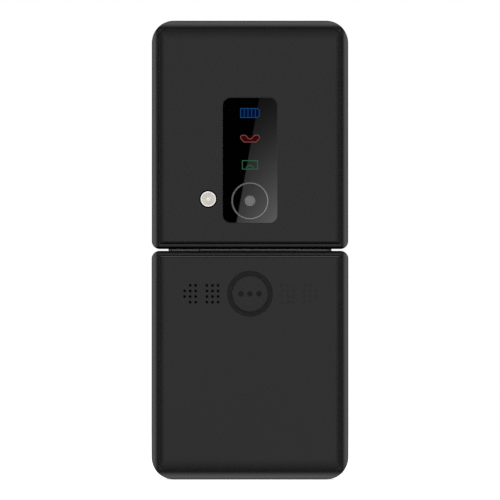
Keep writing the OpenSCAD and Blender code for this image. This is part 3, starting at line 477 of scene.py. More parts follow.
@dataclass(frozen=True)
class ClearMoulding(Finish):
    """Clear or frosted moulding, drawn by its own pale color."""

    color: Color
    roughness: float = 0.18
    ripple: float = 0.00001
    transmission: float = 0.0
    glow: float = 0.0

    def build(self, made: Shader) -> bpy.types.Material:
        """Make the frosting and its slow ripple."""
        made.set(Transmission_Weight=self.transmission, Emission_Strength=self.glow, IOR=1.49)
        made.color("Emission Color", self.color)
        frost = made.noise(1400.0, 3.0)
        tone = made.mix(frost, self.color, shaded(self.color, 0.86))
        spread = made.remap(frost, self.roughness * 0.8, self.roughness * 1.3)
        return made.finish(tone, spread, made.bump(frost, self.ripple))


@dataclass(frozen=True)
class FoilWrap(Finish):
    """Thin printed foil with small creases."""

    color: Color
    roughness: float = 0.35
    metallic: float = 0.4

    def build(self, made: Shader) -> bpy.types.Material:
        """Make the creases and the print's uneven tone."""
        made.set(Metallic=self.metallic)
        crease = made.noise(180.0, 5.0)
        tone = made.mix(crease, self.color, shaded(self.color, 0.8))
        return made.finish(tone, made.vary(crease, self.roughness, 0.08), made.bump(crease, 0.00004))


@dataclass(frozen=True)
class PrintInk(Finish):
    """Opaque ink or a sign that is lit from behind."""

    color: Color
    glow: float = 0.0
    roughness: float = 0.5

    def build(self, made: Shader) -> bpy.types.Material:
        """Make the ink's slightly uneven cover and its light."""
        made.set(Emission_Strength=self.glow, Specular_IOR_Level=0.02)
        cover = made.noise(1800.0, 3.0)
        tone = made.mix(cover, self.color, shaded(self.color, 0.85))
        if self.glow:
            made.plug(made.surface.inputs["Emission Color"], tone)
        return made.finish(tone, made.vary(cover, self.roughness, 0.05))


@dataclass(frozen=True)
class Palette:
    """Every finish on the phone."""

    casing: Finish = BarrelCasing("casing_black", (0.004, 0.004, 0.0042), 0.26)
    cover: Finish = MouldedPlastic("cover_soft_black", (0.004, 0.004, 0.004), 0.27, edge=0.0001, wear=0.2)
    button: Finish = MouldedPlastic("button_black", (0.004, 0.004, 0.004), 0.27, edge=0.0001, wear=0.2)
    button_mark: Finish = MouldedPlastic("button_mark", (0.006, 0.006, 0.006), 0.6, 0.2)
    # The dished ring in the alarm button's groove: a dark matte tone that paints the groove's shade.
    surround: Finish = MouldedPlastic("button_painted_shade_black", (0.008, 0.008, 0.008), 0.5, 0.25)
    # Near-black and almost without gloss: painted shade in the recess around the torch's lens.
    torch_surround: Finish = PolishedPlastic("torch_painted_shade_black", (0.001, 0.001, 0.001), 0.4, 0.06)
    inner: Finish = MouldedPlastic("inner_black", (0.012, 0.012, 0.0125), 0.6, 0.3)
    key: Finish = MouldedPlastic("key_black", (0.017, 0.0175, 0.019), 0.3, 0.5, 0.0000008)
    key_print: Finish = PrintInk("key_print_white", (0.78, 0.80, 0.82))
    call_print: Finish = PrintInk("call_print_green", (0.03, 0.45, 0.10))
    end_print: Finish = PrintInk("end_print_red", (0.60, 0.03, 0.03))
    ring_paint: Finish = SatinPaint("navigation_silver", (0.36, 0.37, 0.39))
    select_paint: Finish = SatinPaint("select_graphite", (0.10, 0.105, 0.11))
    window: Finish = PolishedPlastic("window_black", (0.0004, 0.0004, 0.0005), 0.005, 1.0)
    display: Finish = DisplayGlass("display_glass", (0.0015, 0.0015, 0.002), (0.008, 0.010, 0.014),
                                   (0.0, 0.09996), (0.037, 0.0475))
    bright_ring: Finish = BrushedMetal("camera_ring_metal", (0.34, 0.34, 0.345), 0.03, (1.0, 1.0, 1.0),
                                       relief=0.0, metallic=0.84, unevenness=0.01)
    camera: Finish = PolishedPlastic("camera_coated_glass", (0.16, 0.16, 0.165), 0.14)
    torch: Finish = ClearMoulding("torch_lens_white", (0.97, 0.96, 0.95), 0.12)
    torch_core: Finish = ClearMoulding("torch_core_cream", (0.60, 0.56, 0.52), 0.25)
    torch_boss: Finish = ClearMoulding("torch_boss_pale", (0.84, 0.76, 0.68), 0.2)
    blue_sign: Finish = PrintInk("battery_sign_blue", (0.004, 0.032, 0.100), 0.6)
    dim_blue_sign: Finish = PrintInk("battery_cell_blue", (0.0003, 0.0022, 0.022), 0.6)
    red_sign: Finish = PrintInk("call_sign_red", (0.115, 0.034, 0.034), 0.6)
    green_sign: Finish = PrintInk("message_sign_green", (0.016, 0.072, 0.034), 0.6)
    dim_red_sign: Finish = PrintInk("call_sign_dark_red", (0.020, 0.0010, 0.0008), 0.6)
    steel: Finish = BrushedMetal("tinned_steel", (0.58, 0.59, 0.60), 0.34)
    pin_steel: Finish = BrushedMetal("pin_steel", (0.42, 0.43, 0.44), 0.3, (1.0, 0.2, 0.2))
    screw: Finish = BrushedMetal("screw_black_zinc", (0.20, 0.20, 0.21), 0.4)
    gilt: Finish = BrushedMetal("gilt_contact", (0.78, 0.57, 0.24), 0.25)
    rubber: Finish = SoftRubber("dark_rubber", (0.030, 0.030, 0.031))
    mat: Finish = SoftRubber("key_mat_rubber", (0.06, 0.06, 0.062))
    board: Finish = BoardLacquer("board_lacquer", (0.012, 0.085, 0.035), (0.04, 0.20, 0.08))
    flex: Finish = FoilWrap("wiring_film", (0.45, 0.17, 0.035), 0.3, 0.1)
    wrap: Finish = FoilWrap("battery_wrap", (0.50, 0.51, 0.52))
    guide: Finish = ClearMoulding("light_guide", (0.82, 0.84, 0.86), 0.25)
    chip: Finish = ClearMoulding("light_chip", (0.86, 0.78, 0.42), 0.4)


# ---- Meshes ----


class MeshWork:
    """Collects the points and faces of one piece, and makes its object."""

    def __init__(self) -> None:
        """Start with no points."""
        self.mesh = bmesh.new()

    def ring(self, points: Sequence[Vector]) -> list[bmesh.types.BMVert]:
        """Add a closed row of points."""
        return [self.mesh.verts.new(p) for p in points]

    def bridge(self, first: Sequence[bmesh.types.BMVert], second: Sequence[bmesh.types.BMVert]) -> None:
        """Join two closed rows of equal count with a band of faces."""
        count = len(first)
        for i in range(count):
            k = (i + 1) % count
            self.mesh.faces.new((first[i], first[k], second[k], second[i]))

    def fan(self, row: Sequence[bmesh.types.BMVert], tip: Vector) -> None:
        """Close a row with triangles that meet in a point."""
        centre = self.mesh.verts.new(tip)
        for i, vert in enumerate(row):
            self.mesh.faces.new((vert, row[(i + 1) % len(row)], centre))

    def loft(self, rows: Sequence[Sequence[Vector]], start: Vector, end: Vector) -> None:
        """Make a closed solid from rows of points.

        Args:
            rows: Closed rows of equal count, from one end to the other.
            start: The point that closes the first row.
            end: The point that closes the last row.
        """
        rings = [self.ring(row) for row in rows]
        for first, second in zip(rings, rings[1:]):
            self.bridge(first, second)
        self.fan(rings[0], start)
        self.fan(rings[-1], end)

    def slab(self, low: Sequence[Vector], high: Sequence[Vector]) -> None:
        """Make a thin closed plate between two flat rows of equal count."""
        first, second = self.ring(low), self.ring(high)
        self.bridge(first, second)
        bmesh.ops.triangulate(self.mesh, faces=[self.mesh.faces.new(first), self.mesh.faces.new(second)])

    def object(self, name: str, finish: Finish, sharp_angle: float = 35.0) -> bpy.types.Object:
        """Make the object.

        Args:
            name: The piece's name.
            finish: What it is made of.
            sharp_angle: Edges that turn further than this, in degrees, stay sharp.

        Returns:
            The new object, smooth but for its sharp edges.
        """
        bmesh.ops.recalc_face_normals(self.mesh, faces=self.mesh.faces)
        limit = math.radians(sharp_angle)
        for edge in self.mesh.edges:
            edge.smooth = len(edge.link_faces) != 2 or edge.calc_face_angle(0.0) < limit
        for face in self.mesh.faces:
            face.smooth = True
        data = bpy.data.meshes.new(name)
        self.mesh.to_mesh(data)
        self.mesh.free()
        data.materials.append(finish.material())
        made = bpy.data.objects.new(name, data)
        bpy.context.scene.collection.objects.link(made)
        return made


def rounded_outline(width: float, height: float, radius: float) -> list[Point2]:
    """Points around a rectangle with round corners, centred on the origin.

    Args:
        width: Size along the first axis.
        height: Size along the second axis.
        radius: Corner radius.

    Returns:
        The points, counter-clockwise.
    """
    radius = max(min(radius, width / 2 - LEAST_FLAT, height / 2 - LEAST_FLAT), LEAST_RADIUS)
    points = []
    for quarter in range(4):
        sx, sy = ((1, 1), (-1, 1), (-1, -1), (1, -1))[quarter]
        cx, cy = sx * (width / 2 - radius), sy * (height / 2 - radius)
        for step in range(CORNER_STEPS + 1):
            angle = math.pi / 2 * (quarter + step / CORNER_STEPS)
            points.append((cx + radius * math.cos(angle), cy + radius * math.sin(angle)))
    return points


def rounded_edge(radius: float, edge: float, drop: float = 0.0, side: int = 1) -> list[Point2]:
    """Rows of an edge that rounds over from a turned side to its face.

    Args:
        radius: Radius of the side.
        edge: Radius of the rounding.
        drop: How far the face lies below the pad.
        side: 1 where the face lies inward of the side, -1 where it lies outward, as around a hole.

    Returns:
        Radius and lift of each row, from the side to the face.
    """
    turns = [math.pi / 2 * i / EDGE_STEPS for i in range(EDGE_STEPS + 1)]
    return [(radius - side * edge * (1 - math.cos(a)), -drop - edge * (1 - math.sin(a))) for a in turns]


def dished(radius: float, depth: float, shares: Sequence[float]) -> list[Point2]:
    """Rows of a hollowed face, at these shares of its radius."""
    return [(radius * share, -depth * (1 - share * share)) for share in shares]


@dataclass
class Pad:
    """A flat face of the phone on which pieces are laid out as it is read.

    Attributes:
        x: Middle of the pad across the phone.
        z: Middle of the pad up the phone.
        face: Where its surface lies along Y.
        facing: The side that it is read from.
    """

    x: float
    z: float
    face: float
    facing: Facing

    def at(self, u: float, v: float, lift: float = 0.0) -> Vector:
        """The point u to the reader's right, v up and lift above the face."""
        sign = self.facing.value
        return Vector((self.x - sign * u, self.face + sign * lift, self.z + v))

    def disc(self, profile: Sequence[Point2], start: float, end: float) -> MeshWork:
        """Turn a profile about the pad's middle.

        Args:
            profile: Radius and lift of each row.
            start: Lift of the point that closes the first row.
            end: Lift of the point that closes the last row.

        Returns:
            The mesh, ready to become an object.
        """
        work = MeshWork()
        work.loft([self.circle(radius, lift) for radius, lift in profile], self.at(0, 0, start),
                  self.at(0, 0, end))
        return work

    def hoop(self, profile: Sequence[Point2]) -> MeshWork:
        """Turn a closed profile of radius and lift about the pad's middle, into a ring."""
        work = MeshWork()
        rings = [work.ring(self.circle(radius, lift)) for radius, lift in profile]
        for first, second in zip(rings, rings[1:] + rings[:1]):
            work.bridge(first, second)
        return work

    def circle(self, radius: float, lift: float) -> list[Vector]:
        """A row of points around the pad's middle."""
        turns = [2 * math.pi * i / CIRCLE_STEPS for i in range(CIRCLE_STEPS)]
        return [self.at(radius * math.cos(a), radius * math.sin(a), lift) for a in turns]

    def ribbon(self, work: MeshWork, path: Sequence[Point2], width: float, base: float, top: float,
               closed: bool = True) -> None:
        """Add a raised line along a path.

        Args:
            work: The mesh to add it to.
            path: The corners of its middle line.
            width: The line's width.
            base: Lift of its underside.
            top: Lift of its upper side.
            closed: Whether the path returns to its start.
        """
        count = len(path)
        rows = []
        for i, (u, v) in enumerate(path):
            before = path[i - 1] if closed or i else None
            after = path[(i + 1) % count] if closed or i < count - 1 else None
            ways = [self._normal(before, (u, v)), self._normal((u, v), after)]
            ways = [w for w in ways if w is not None]
            mean = sum(ways, Vector((0.0, 0.0)))
            mean.normalize()
            reach = width / 2 / max(mean.dot(ways[0]), MITRE_LIMIT)
            out, inn = Vector((u, v)) + mean * reach, Vector((u, v)) - mean * reach
            rows.append(work.ring([self.at(*out, base), self.at(*out, top), self.at(*inn, top),
                                   self.at(*inn, base)]))
        for first, second in zip(rows, rows[1:] + (rows[:1] if closed else [])):
            work.bridge(first, second)
        if not closed:
            work.mesh.faces.new(rows[0])
            work.mesh.faces.new(tuple(reversed(rows[-1])))

    @staticmethod
    def _normal(start: Optional[Point2], end: Optional[Point2]) -> Optional[Vector]:
        """The unit normal of a step of a path, or None where there is no step."""
        if start is None or end is None:
            return None
        step = Vector(end) - Vector(start)
        return Vector((step.y, -step.x)).normalized()

    def plate(self, work: MeshWork, outline: Sequence[Point2], base: float, top: float) -> None:
        """Add a thin flat piece with this outline."""
        centre = (sum(p[0] for p in outline) / len(outline), sum(p[1] for p in outline) / len(outline))
        rows = [[self.at(u, v, lift) for u, v in outline] for lift in (base, top)]
        work.loft(rows, self.at(*centre, base), self.at(*centre, top))

    def text(self, name: str, words: str, height: float, lift: float, depth: float,
             finish: Finish) -> bpy.types.Object:
        """Make a raised character in the middle of the pad.

        Args:
            name: The piece's name.
            words: The character or characters.
            height: Size of the type.
            lift: Lift of its middle plane.
            depth: Half of its thickness.
            finish: Its ink.

        Returns:
            The character as a mesh object.
        """
        curve = bpy.data.curves.new(name, "FONT")
        curve.body = words
        curve.size = height
        curve.extrude = depth
        curve.align_x = "CENTER"
        curve.align_y = "CENTER"
        curve.resolution_u = 6
        pattern = bpy.data.objects.new(name + "_curve", curve)
        bpy.context.scene.collection.objects.link(pattern)
        bpy.context.view_layer.update()
        graph = bpy.context.evaluated_depsgraph_get()
        shaped = bpy.data.meshes.new_from_object(pattern.evaluated_get(graph))
        bpy.data.objects.remove(pattern)
        work = MeshWork()
        work.mesh.from_mesh(shaped)
        bpy.data.meshes.remove(shaped)
        bmesh.ops.remove_doubles(work.mesh, verts=work.mesh.verts, dist=1e-6)
        low = min(v.co.y for v in work.mesh.verts)
        high = max(v.co.y for v in work.mesh.verts)
        for vert in work.mesh.verts:
            vert.co = self.at(vert.co.x, vert.co.y - (low + high) / 2, lift + vert.co.z)
        return work.object(name, finish)


def outer_face(box: tuple[Vector, Vector], facing: Facing) -> tuple[Pad, float]:
    """The pad in the middle of a box's outer face, and the lift of the box's inner side."""
    low, high = box
    face = low.y if facing is Facing.BACK else high.y
    return Pad((low.x + high.x) / 2, (low.z + high.z) / 2, face, facing), low.y - high.y


@dataclass
class SubAssembly(ABC):
    """A group of pieces that is built and dressed together."""

    palette: Palette
    pieces: list[bpy.types.Object] = field(default_factory=list, init=False)

    @abstractmethod
    def build(self) -> None:
        """Build the group's pieces and dress its nodes."""

    def dress(self, finish: Finish, *nodes: str) -> None:
        """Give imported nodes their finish."""
        for name in nodes:
            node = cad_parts[name]
            node.data.materials.clear()
            node.data.materials.append(finish.material())

    def keep(self, piece: bpy.types.Object, body: str, *nodes: str, slot: Optional[str] = None) -> None:
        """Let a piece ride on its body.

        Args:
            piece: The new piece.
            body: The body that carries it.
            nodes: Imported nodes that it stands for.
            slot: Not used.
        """
        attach(piece, body)
        if nodes:
            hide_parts(*nodes)
        self.pieces.append(piece)

    def report(self) -> None:
        """Log each piece of the group."""
        for piece in self.pieces:
            LOG.info("%s: %s, %d faces", type(self).__name__, piece.name, len(piece.data.polygons))


# ---- The phone ----


@dataclass
class Casings(SubAssembly):
    """The four shells, the two covers, the hinge barrel and the parts of the hinge that show."""

    def build(self) -> None:
        """Dress the shells and the hinge."""
        self.dress(self.palette.casing, "keypad_housing", "base_frame", "lid_bezel", "lid_frame",
                   "hinge_caps")
        self.dress(self.palette.cover, "rear_cover", "lid_cover")
        self.dress(self.palette.pin_steel, "pivot_pin", "hinge_shaft", "hinge_can", "hinge_spring")


@dataclass
class Insides(SubAssembly):
    """The boards, sockets and other parts inside both halves."""

    def build(self) -> None:
        """Dress what lies inside."""
        self.dress(self.palette.board, "main_board", "lid_board")
        self.dress(self.palette.steel, "shield_cans", "card_sockets", "charging_socket", "microphone",
                   "key_domes", "vibration_motor", "earpiece", "closing_magnet")
        self.dress(self.palette.inner, "loudspeaker", "alarm_switch", "camera_module", "display_module")
        self.dress(self.palette.screw, "base_screws", "lid_screws")
        self.dress(self.palette.gilt, "battery_contacts")
        self.dress(self.palette.wrap, "battery")
        self.dress(self.palette.flex, "base_flex", "lid_flex")
        self.dress(self.palette.guide, "light_guide")
        self.dress(self.palette.chip, "lid_lights")
        self.dress(self.palette.mat, "key_mat", "nav_web")


@dataclass
class AlarmButton(SubAssembly):
    """The round back button, a dished ring painting its groove's shade, and three raised dots to find it by
    touch.
    """

    radius: float = 5.33 * MM
    flange_radius: float = 5.88 * MM
    flange: tuple[float, float] = (1.07 * MM, 1.62 * MM)
    stem_radius: float = 1.5 * MM
    edge: float = 0.35 * MM
    dish: float = 0.1 * MM
    dot_radius: float = 0.85 * MM
    dot_pitch: float = 2.7 * MM
    dot_height: float = 0.06 * MM
    # The dished ring of these radii on the groove's floor has a dark matte tone that paints the groove's
    # shade.
    surround: tuple[float, float] = (5.52 * MM, 6.66 * MM)
    surround_depth: float = 0.45 * MM
    surround_rise: float = 0.16 * MM
    surround_hollow: float = 0.8
    surround_steps: int = 8

    def build(self) -> None:
        """Build the dished button and its dots."""
        pad, stem = outer_face(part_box("alarm_button"), Facing.BACK)
        profile = [(self.stem_radius, stem), (self.stem_radius, -self.flange[1]),
                   (self.flange_radius, -self.flange[1]), (self.flange_radius, -self.flange[0]),
                   (self.radius, -self.flange[0])]
        inner = self.radius - self.edge
        profile += rounded_edge(self.radius, self.edge)
        profile += dished(inner, self.dish, (0.92, 0.8, 0.6, 0.4, 0.2))
        button = pad.disc(profile, stem, -self.dish).object("alarm_button_cap", self.palette.button)
        self.keep(button, "alarm_button", "alarm_button", slot="black_cover")
        dots = MeshWork()
        for step in (-1, 0, 1):
            spot = Pad(pad.x - Facing.BACK.value * step * self.dot_pitch, pad.z, pad.face, Facing.BACK)
            floor = -self.dish * (1 - (step * self.dot_pitch / inner) ** 2)
            rows = [(self.dot_radius, floor - self.dot_height), (self.dot_radius, floor),
                    (self.dot_radius * 0.85, floor + self.dot_height * 0.6),
                    (self.dot_radius * 0.5, floor + self.dot_height * 0.9)]
            dots.loft([spot.circle(r, lift) for r, lift in rows], spot.at(0, 0, floor - self.dot_height),
                      spot.at(0, 0, floor + self.dot_height))
        self.keep(dots.object("alarm_button_dots", self.palette.button_mark), "alarm_button",
                  slot="black_cover")
        self.trim(Pad(pad.x, pad.z, pad.face + self.surround_depth, Facing.BACK))

    def trim(self, pad: Pad) -> None:
        """Build the hollowed ring of painted groove shade around the button, on the groove's floor as its
        pad.
        """
        inner, outer = self.surround
        profile = [(inner, 0.0)]
        for i in range(self.surround_steps + 1):
            share = i / self.surround_steps
            hollow = self.surround_hollow * (1 - (2 * share - 1) ** 2)
            profile.append((inner + (outer - inner) * share, self.surround_rise * (1 - hollow)))
        profile.append((outer, 0.0))
        # Dark matte ring: its shape dishes the groove's floor, and its tone paints the groove's shade.
        ring = pad.hoop(profile).object("alarm_button_painted_shade", self.palette.surround)
        self.keep(ring, Half.LOWER.value, slot="black_cover")


@dataclass
class Keypad(SubAssembly):
    """The sixteen keys with their printed signs."""

    flange: float = 0.4 * MM
    flange_depth: tuple[float, float] = (1.37 * MM, 1.67 * MM)
    corner: float = 1.4 * MM
    edge: float = 0.28 * MM
    crown: float = 0.05 * MM
    type_size: float = 4.3 * MM
    print_depth: float = 0.02 * MM
    line: float = 0.34 * MM
    dash: tuple[float, float] = (3.2 * MM, 0.5 * MM)
    handset_size: tuple[float, float] = (3.6 * MM, 1.5 * MM)
    star_scale: float = 1.5
    corner_loss: float = 0.6

    def build(self) -> None:
        """Build every key cap and its sign."""
        names = {f"key_{digit}": str(digit) for digit in range(10)}
        names.update({"key_star": "*", "key_hash": "#"})
        for key, sign in names.items():
            pad = self.cap(key)
            size = self.type_size * (self.star_scale if sign == "*" else 1.0)
            mark = pad.text(key + "_sign", sign, size, self.crown - self.print_depth / 2, self.print_depth,
                            self.palette.key_print)
            self.keep(mark, key, slot="key_plastic")
        for key in ("soft_key_left", "soft_key_right"):
            pad = self.cap(key)
            work = MeshWork()
            reach, width = self.dash[0] / 2, self.dash[1]
            pad.ribbon(work, [(-reach, 0), (reach, 0)], width, 0.0, self.crown + self.print_depth, False)
            self.keep(work.object(key + "_sign", self.palette.key_print), key, slot="key_plastic")
        self.handset("call_key", self.palette.call_print, 40.0)
        self.handset("end_key", self.palette.end_print, 0.0)

    def cap(self, key: str) -> Pad:
        """Build one key's cap.

        Args:
            key: The key's node and body.

        Returns:
            The pad of its upper face.
        """
        low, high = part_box(key)
        pad = Pad((low.x + high.x) / 2, (low.z + high.z) / 2, high.y - self.crown, Facing.KEYPAD)
        width, height = high.x - low.x - 2 * self.flange, high.z - low.z - 2 * self.flange
        top, bottom = (self.crown - depth for depth in self.flange_depth)
        rows = [(-self.flange, bottom), (-self.flange, top), (0.0, top)]
        rows += [(-reach, lift) for reach, lift in rounded_edge(0.0, self.edge)]
        inner = height / 2 - 0.05 * MM
        for share in (0.25, 0.5, 0.75, 1.0):
            rows.append((self.edge + (inner - self.edge) * share, self.crown * (1 - (1 - share) ** 2)))
        outlines = [rounded_outline(width - 2 * inset, height - 2 * inset,
                                    self.corner - max(inset, 0.0) * self.corner_loss) for inset, _ in rows]
        work = MeshWork()
        work.loft([[pad.at(u, v, lift) for u, v in outline] for outline, (_, lift) in zip(outlines, rows)],
                  pad.at(0, 0, bottom), pad.at(0, 0, self.crown))
        self.keep(work.object(key + "_cap", self.palette.key), key, key, slot="key_plastic")
        return pad

    def handset(self, key: str, finish: Finish, turn: float) -> None:
        """Build a key with the sign of a telephone handset.

        Args:
            key: The key's node and body.
            finish: The sign's ink.
            turn: How far the handset is turned, in degrees.
        """
        pad = self.cap(key)
        c, s = math.cos(math.radians(turn)), math.sin(math.radians(turn))
        shape = [(c * u - s * v, s * u + c * v) for u, v in handset_outline(*self.handset_size)]
        work = MeshWork()
        pad.ribbon(work, shape, self.line, 0.0, self.crown + self.print_depth)
        self.keep(work.object(key + "_sign", finish), key, slot="key_plastic")


def handset_outline(width: float, height: float) -> list[Point2]:
    """A telephone handset that lies with its ends up.

    Args:
        width: From end to end.
        height: From its back to its ends.

    Returns:
        The corners of its outline.
    """
    w, h = width / 2, height / 2
    right = [(0.0, -h * 0.1), (w * 0.20, h * 0.05), (w * 0.34, h * 0.62), (w * 0.50, h), (w * 0.86, h),
             (w, h * 0.62), (w * 0.98, h * 0.1), (w * 0.72, -h * 0.78), (w * 0.58, -h)]
    left = [(-u, v) for u, v in reversed(right[1:])]
    return right + left


@dataclass
class NavigationPad(SubAssembly):
    """The tilting ring with its four direction marks, and the select key in it."""

    ring_radius: float = 8.6 * MM
    hole_radius: float = 4.6 * MM
    flange_radius: float = 9.0 * MM
    flange: tuple[float, float] = (1.79 * MM, 2.01 * MM)
    edge: float = 0.4 * MM
    select_radius: float = 4.35 * MM
    select_depth: float = 1.5 * MM
    stem_radius: float = 1.5 * MM
    dish: float = 0.12 * MM
    mark: float = 0.75 * MM
    mark_lift: tuple[float, float] = (-0.03 * MM, 0.015 * MM)

    def build(self) -> None:
        """Build the ring, its marks and the select key."""
        pad, depth = outer_face(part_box("nav_ring"), Facing.KEYPAD)
        flange_top = depth + (self.flange[1] - self.flange[0])
        profile = [(self.flange_radius, depth), (self.flange_radius, flange_top),
                   (self.ring_radius, flange_top), *rounded_edge(self.ring_radius, self.edge),
                   *reversed(rounded_edge(self.hole_radius, self.edge, side=-1)), (self.hole_radius, depth)]
        ring = pad.hoop(profile).object("navigation_ring", self.palette.ring_paint)
        self.keep(ring, "nav_ring", "nav_ring", slot="key_metal_paint")
        marks = MeshWork()
        middle = (self.ring_radius + self.hole_radius) / 2
        near, far = middle - self.mark / 2, middle + self.mark / 2
        for u, v in ((0, 1), (1, 0), (0, -1), (-1, 0)):
            feet = [(u * near + side * v * self.mark, v * near - side * u * self.mark) for side in (-1, 1)]
            pad.plate(marks, [(u * far, v * far), *feet], *self.mark_lift)
        self.keep(marks.object("navigation_marks", self.palette.inner), "nav_ring", slot="key_metal_paint")
        self.select()

    def select(self) -> None:
        """Build the dished select key."""
        pad, stem = outer_face(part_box("select_key"), Facing.KEYPAD)
        profile = [(self.stem_radius, stem), (self.stem_radius, -self.select_depth),
                   (self.select_radius, -self.select_depth)]
        profile += rounded_edge(self.select_radius, self.edge)
        profile += dished(self.select_radius - self.edge, self.dish, (0.9, 0.7, 0.4, 0.15))
        key = pad.disc(profile, stem, -self.dish).object("select_key_cap", self.palette.select_paint)
        self.keep(key, "select_key", "select_key", slot="key_metal_paint")


@dataclass
class WindowPanel(SubAssembly):
    """The glossy panel on the lid with its lit signs, the camera and the ring around it."""

    sign_base: float = -0.01 * MM
    sign_lift: float = 0.015 * MM
    filling_drop: float = 0.006 * MM
    cell_drop: float = 0.002 * MM
    cells: float = 4.5
    line: float = 0.24 * MM
    sign_rows: tuple[float, float, float] = (108.06 * MM, 100.5 * MM, 92.78 * MM)
    battery: tuple[float, float] = (4.9 * MM, 2.65 * MM)
    nub: tuple[float, float] = (0.65 * MM, 1.5 * MM)
    handset: tuple[float, float] = (5.6 * MM, 2.0 * MM)
    envelope: tuple[float, float] = (4.5 * MM, 2.48 * MM)
    lens_radius: float = 1.55 * MM
    lens_rim: float = 0.03 * MM
    lens_dome: tuple[Point2, ...] = ((0.84, 0.0), (0.78, -0.09 * MM), (0.6, -0.05 * MM), (0.4, -0.025 * MM),
                                     (0.2, -0.012 * MM))
    lens_tip: float = -0.01 * MM

    def build(self) -> None:
        """Dress the panel and build its signs and the camera's lens."""
        self.dress(self.palette.window, "window_panel")
        self.dress(self.palette.bright_ring, "camera_ring")
        low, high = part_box("window_panel")
        centre = (low.x + high.x) / 2
        rows = [Pad(centre, height, low.y, Facing.BACK) for height in self.sign_rows]
        self.battery_sign(rows[0])
        call = MeshWork()
        handset = handset_outline(*self.handset)
        rows[1].ribbon(call, handset, self.line, self.sign_base, self.sign_lift)
        self.keep(call.object("call_sign", self.palette.red_sign), Half.LID.value)
        self.fill("call_sign_filling", rows[1], handset, self.palette.dim_red_sign)
        self.message_sign(rows[2])
        self.camera_eye()

    def battery_sign(self, pad: Pad) -> None:
        """Build the battery sign: an outline with a nub, lines between its cells, and a dim filling."""
        width, height = self.battery
        work = MeshWork()
        left, right = -width / 2 - self.nub[0] / 2, width / 2 - self.nub[0] / 2
        top = height / 2
        nub_top = self.nub[1] / 2
        outline = [(left, -top), (right, -top), (right + self.nub[0], -nub_top),
                   (right + self.nub[0], nub_top), (right, top), (left, top)]
        pad.ribbon(work, outline, self.line, self.sign_base, self.sign_lift)
        for i in range(1, math.ceil(self.cells)):
            u = left + (right - left) / self.cells * i
            pad.ribbon(work, [(u, -top), (u, top)], self.line * 0.8, self.sign_base,
                       self.sign_lift - self.cell_drop, False)
        self.keep(work.object("battery_sign", self.palette.blue_sign), Half.LID.value)
        self.fill("battery_sign_filling", pad, outline, self.palette.dim_blue_sign)

    def fill(self, name: str, pad: Pad, outline: Sequence[Point2], finish: Finish) -> None:
        """Build the dim plate within a sign's lines.

        Args:
            name: The piece's name.
            pad: Where the sign lies.
            outline: The sign's outline.
            finish: The plate's ink.
        """
        work = MeshWork()
        work.slab(*([pad.at(u, v, lift) for u, v in outline]
                    for lift in (self.sign_base, self.sign_lift - self.filling_drop)))
        self.keep(work.object(name, finish), Half.LID.value)

    def message_sign(self, pad: Pad) -> None:
        """Build the envelope sign: a frame with a peak in its lower half."""
        w, h = self.envelope[0] / 2, self.envelope[1] / 2
        work = MeshWork()
        pad.ribbon(work, [(-w, -h), (w, -h), (w, h), (-w, h)], self.line, self.sign_base, self.sign_lift)
        pad.ribbon(work, [(-w * 0.52, -h * 0.62), (0.0, -h * 0.05), (w * 0.52, -h * 0.62)], self.line,
                   self.sign_base, self.sign_lift, False)
        self.keep(work.object("message_sign", self.palette.green_sign), Half.LID.value)

    def camera_eye(self) -> None:
        """Build the camera's lens: a flat rim around a low dome."""
        pad, back = outer_face(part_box("camera_lens"), Facing.BACK)
        r = self.lens_radius
        profile = [(r, back), (r, -self.lens_rim), (r - self.lens_rim, 0.0)]
        profile += [(r * share, lift) for share, lift in self.lens_dome]
        eye = pad.disc(profile, back, self.lens_tip).object("camera_eye", self.palette.camera)
        self.keep(eye, Half.LID.value, "camera_lens", slot="camera_glass")


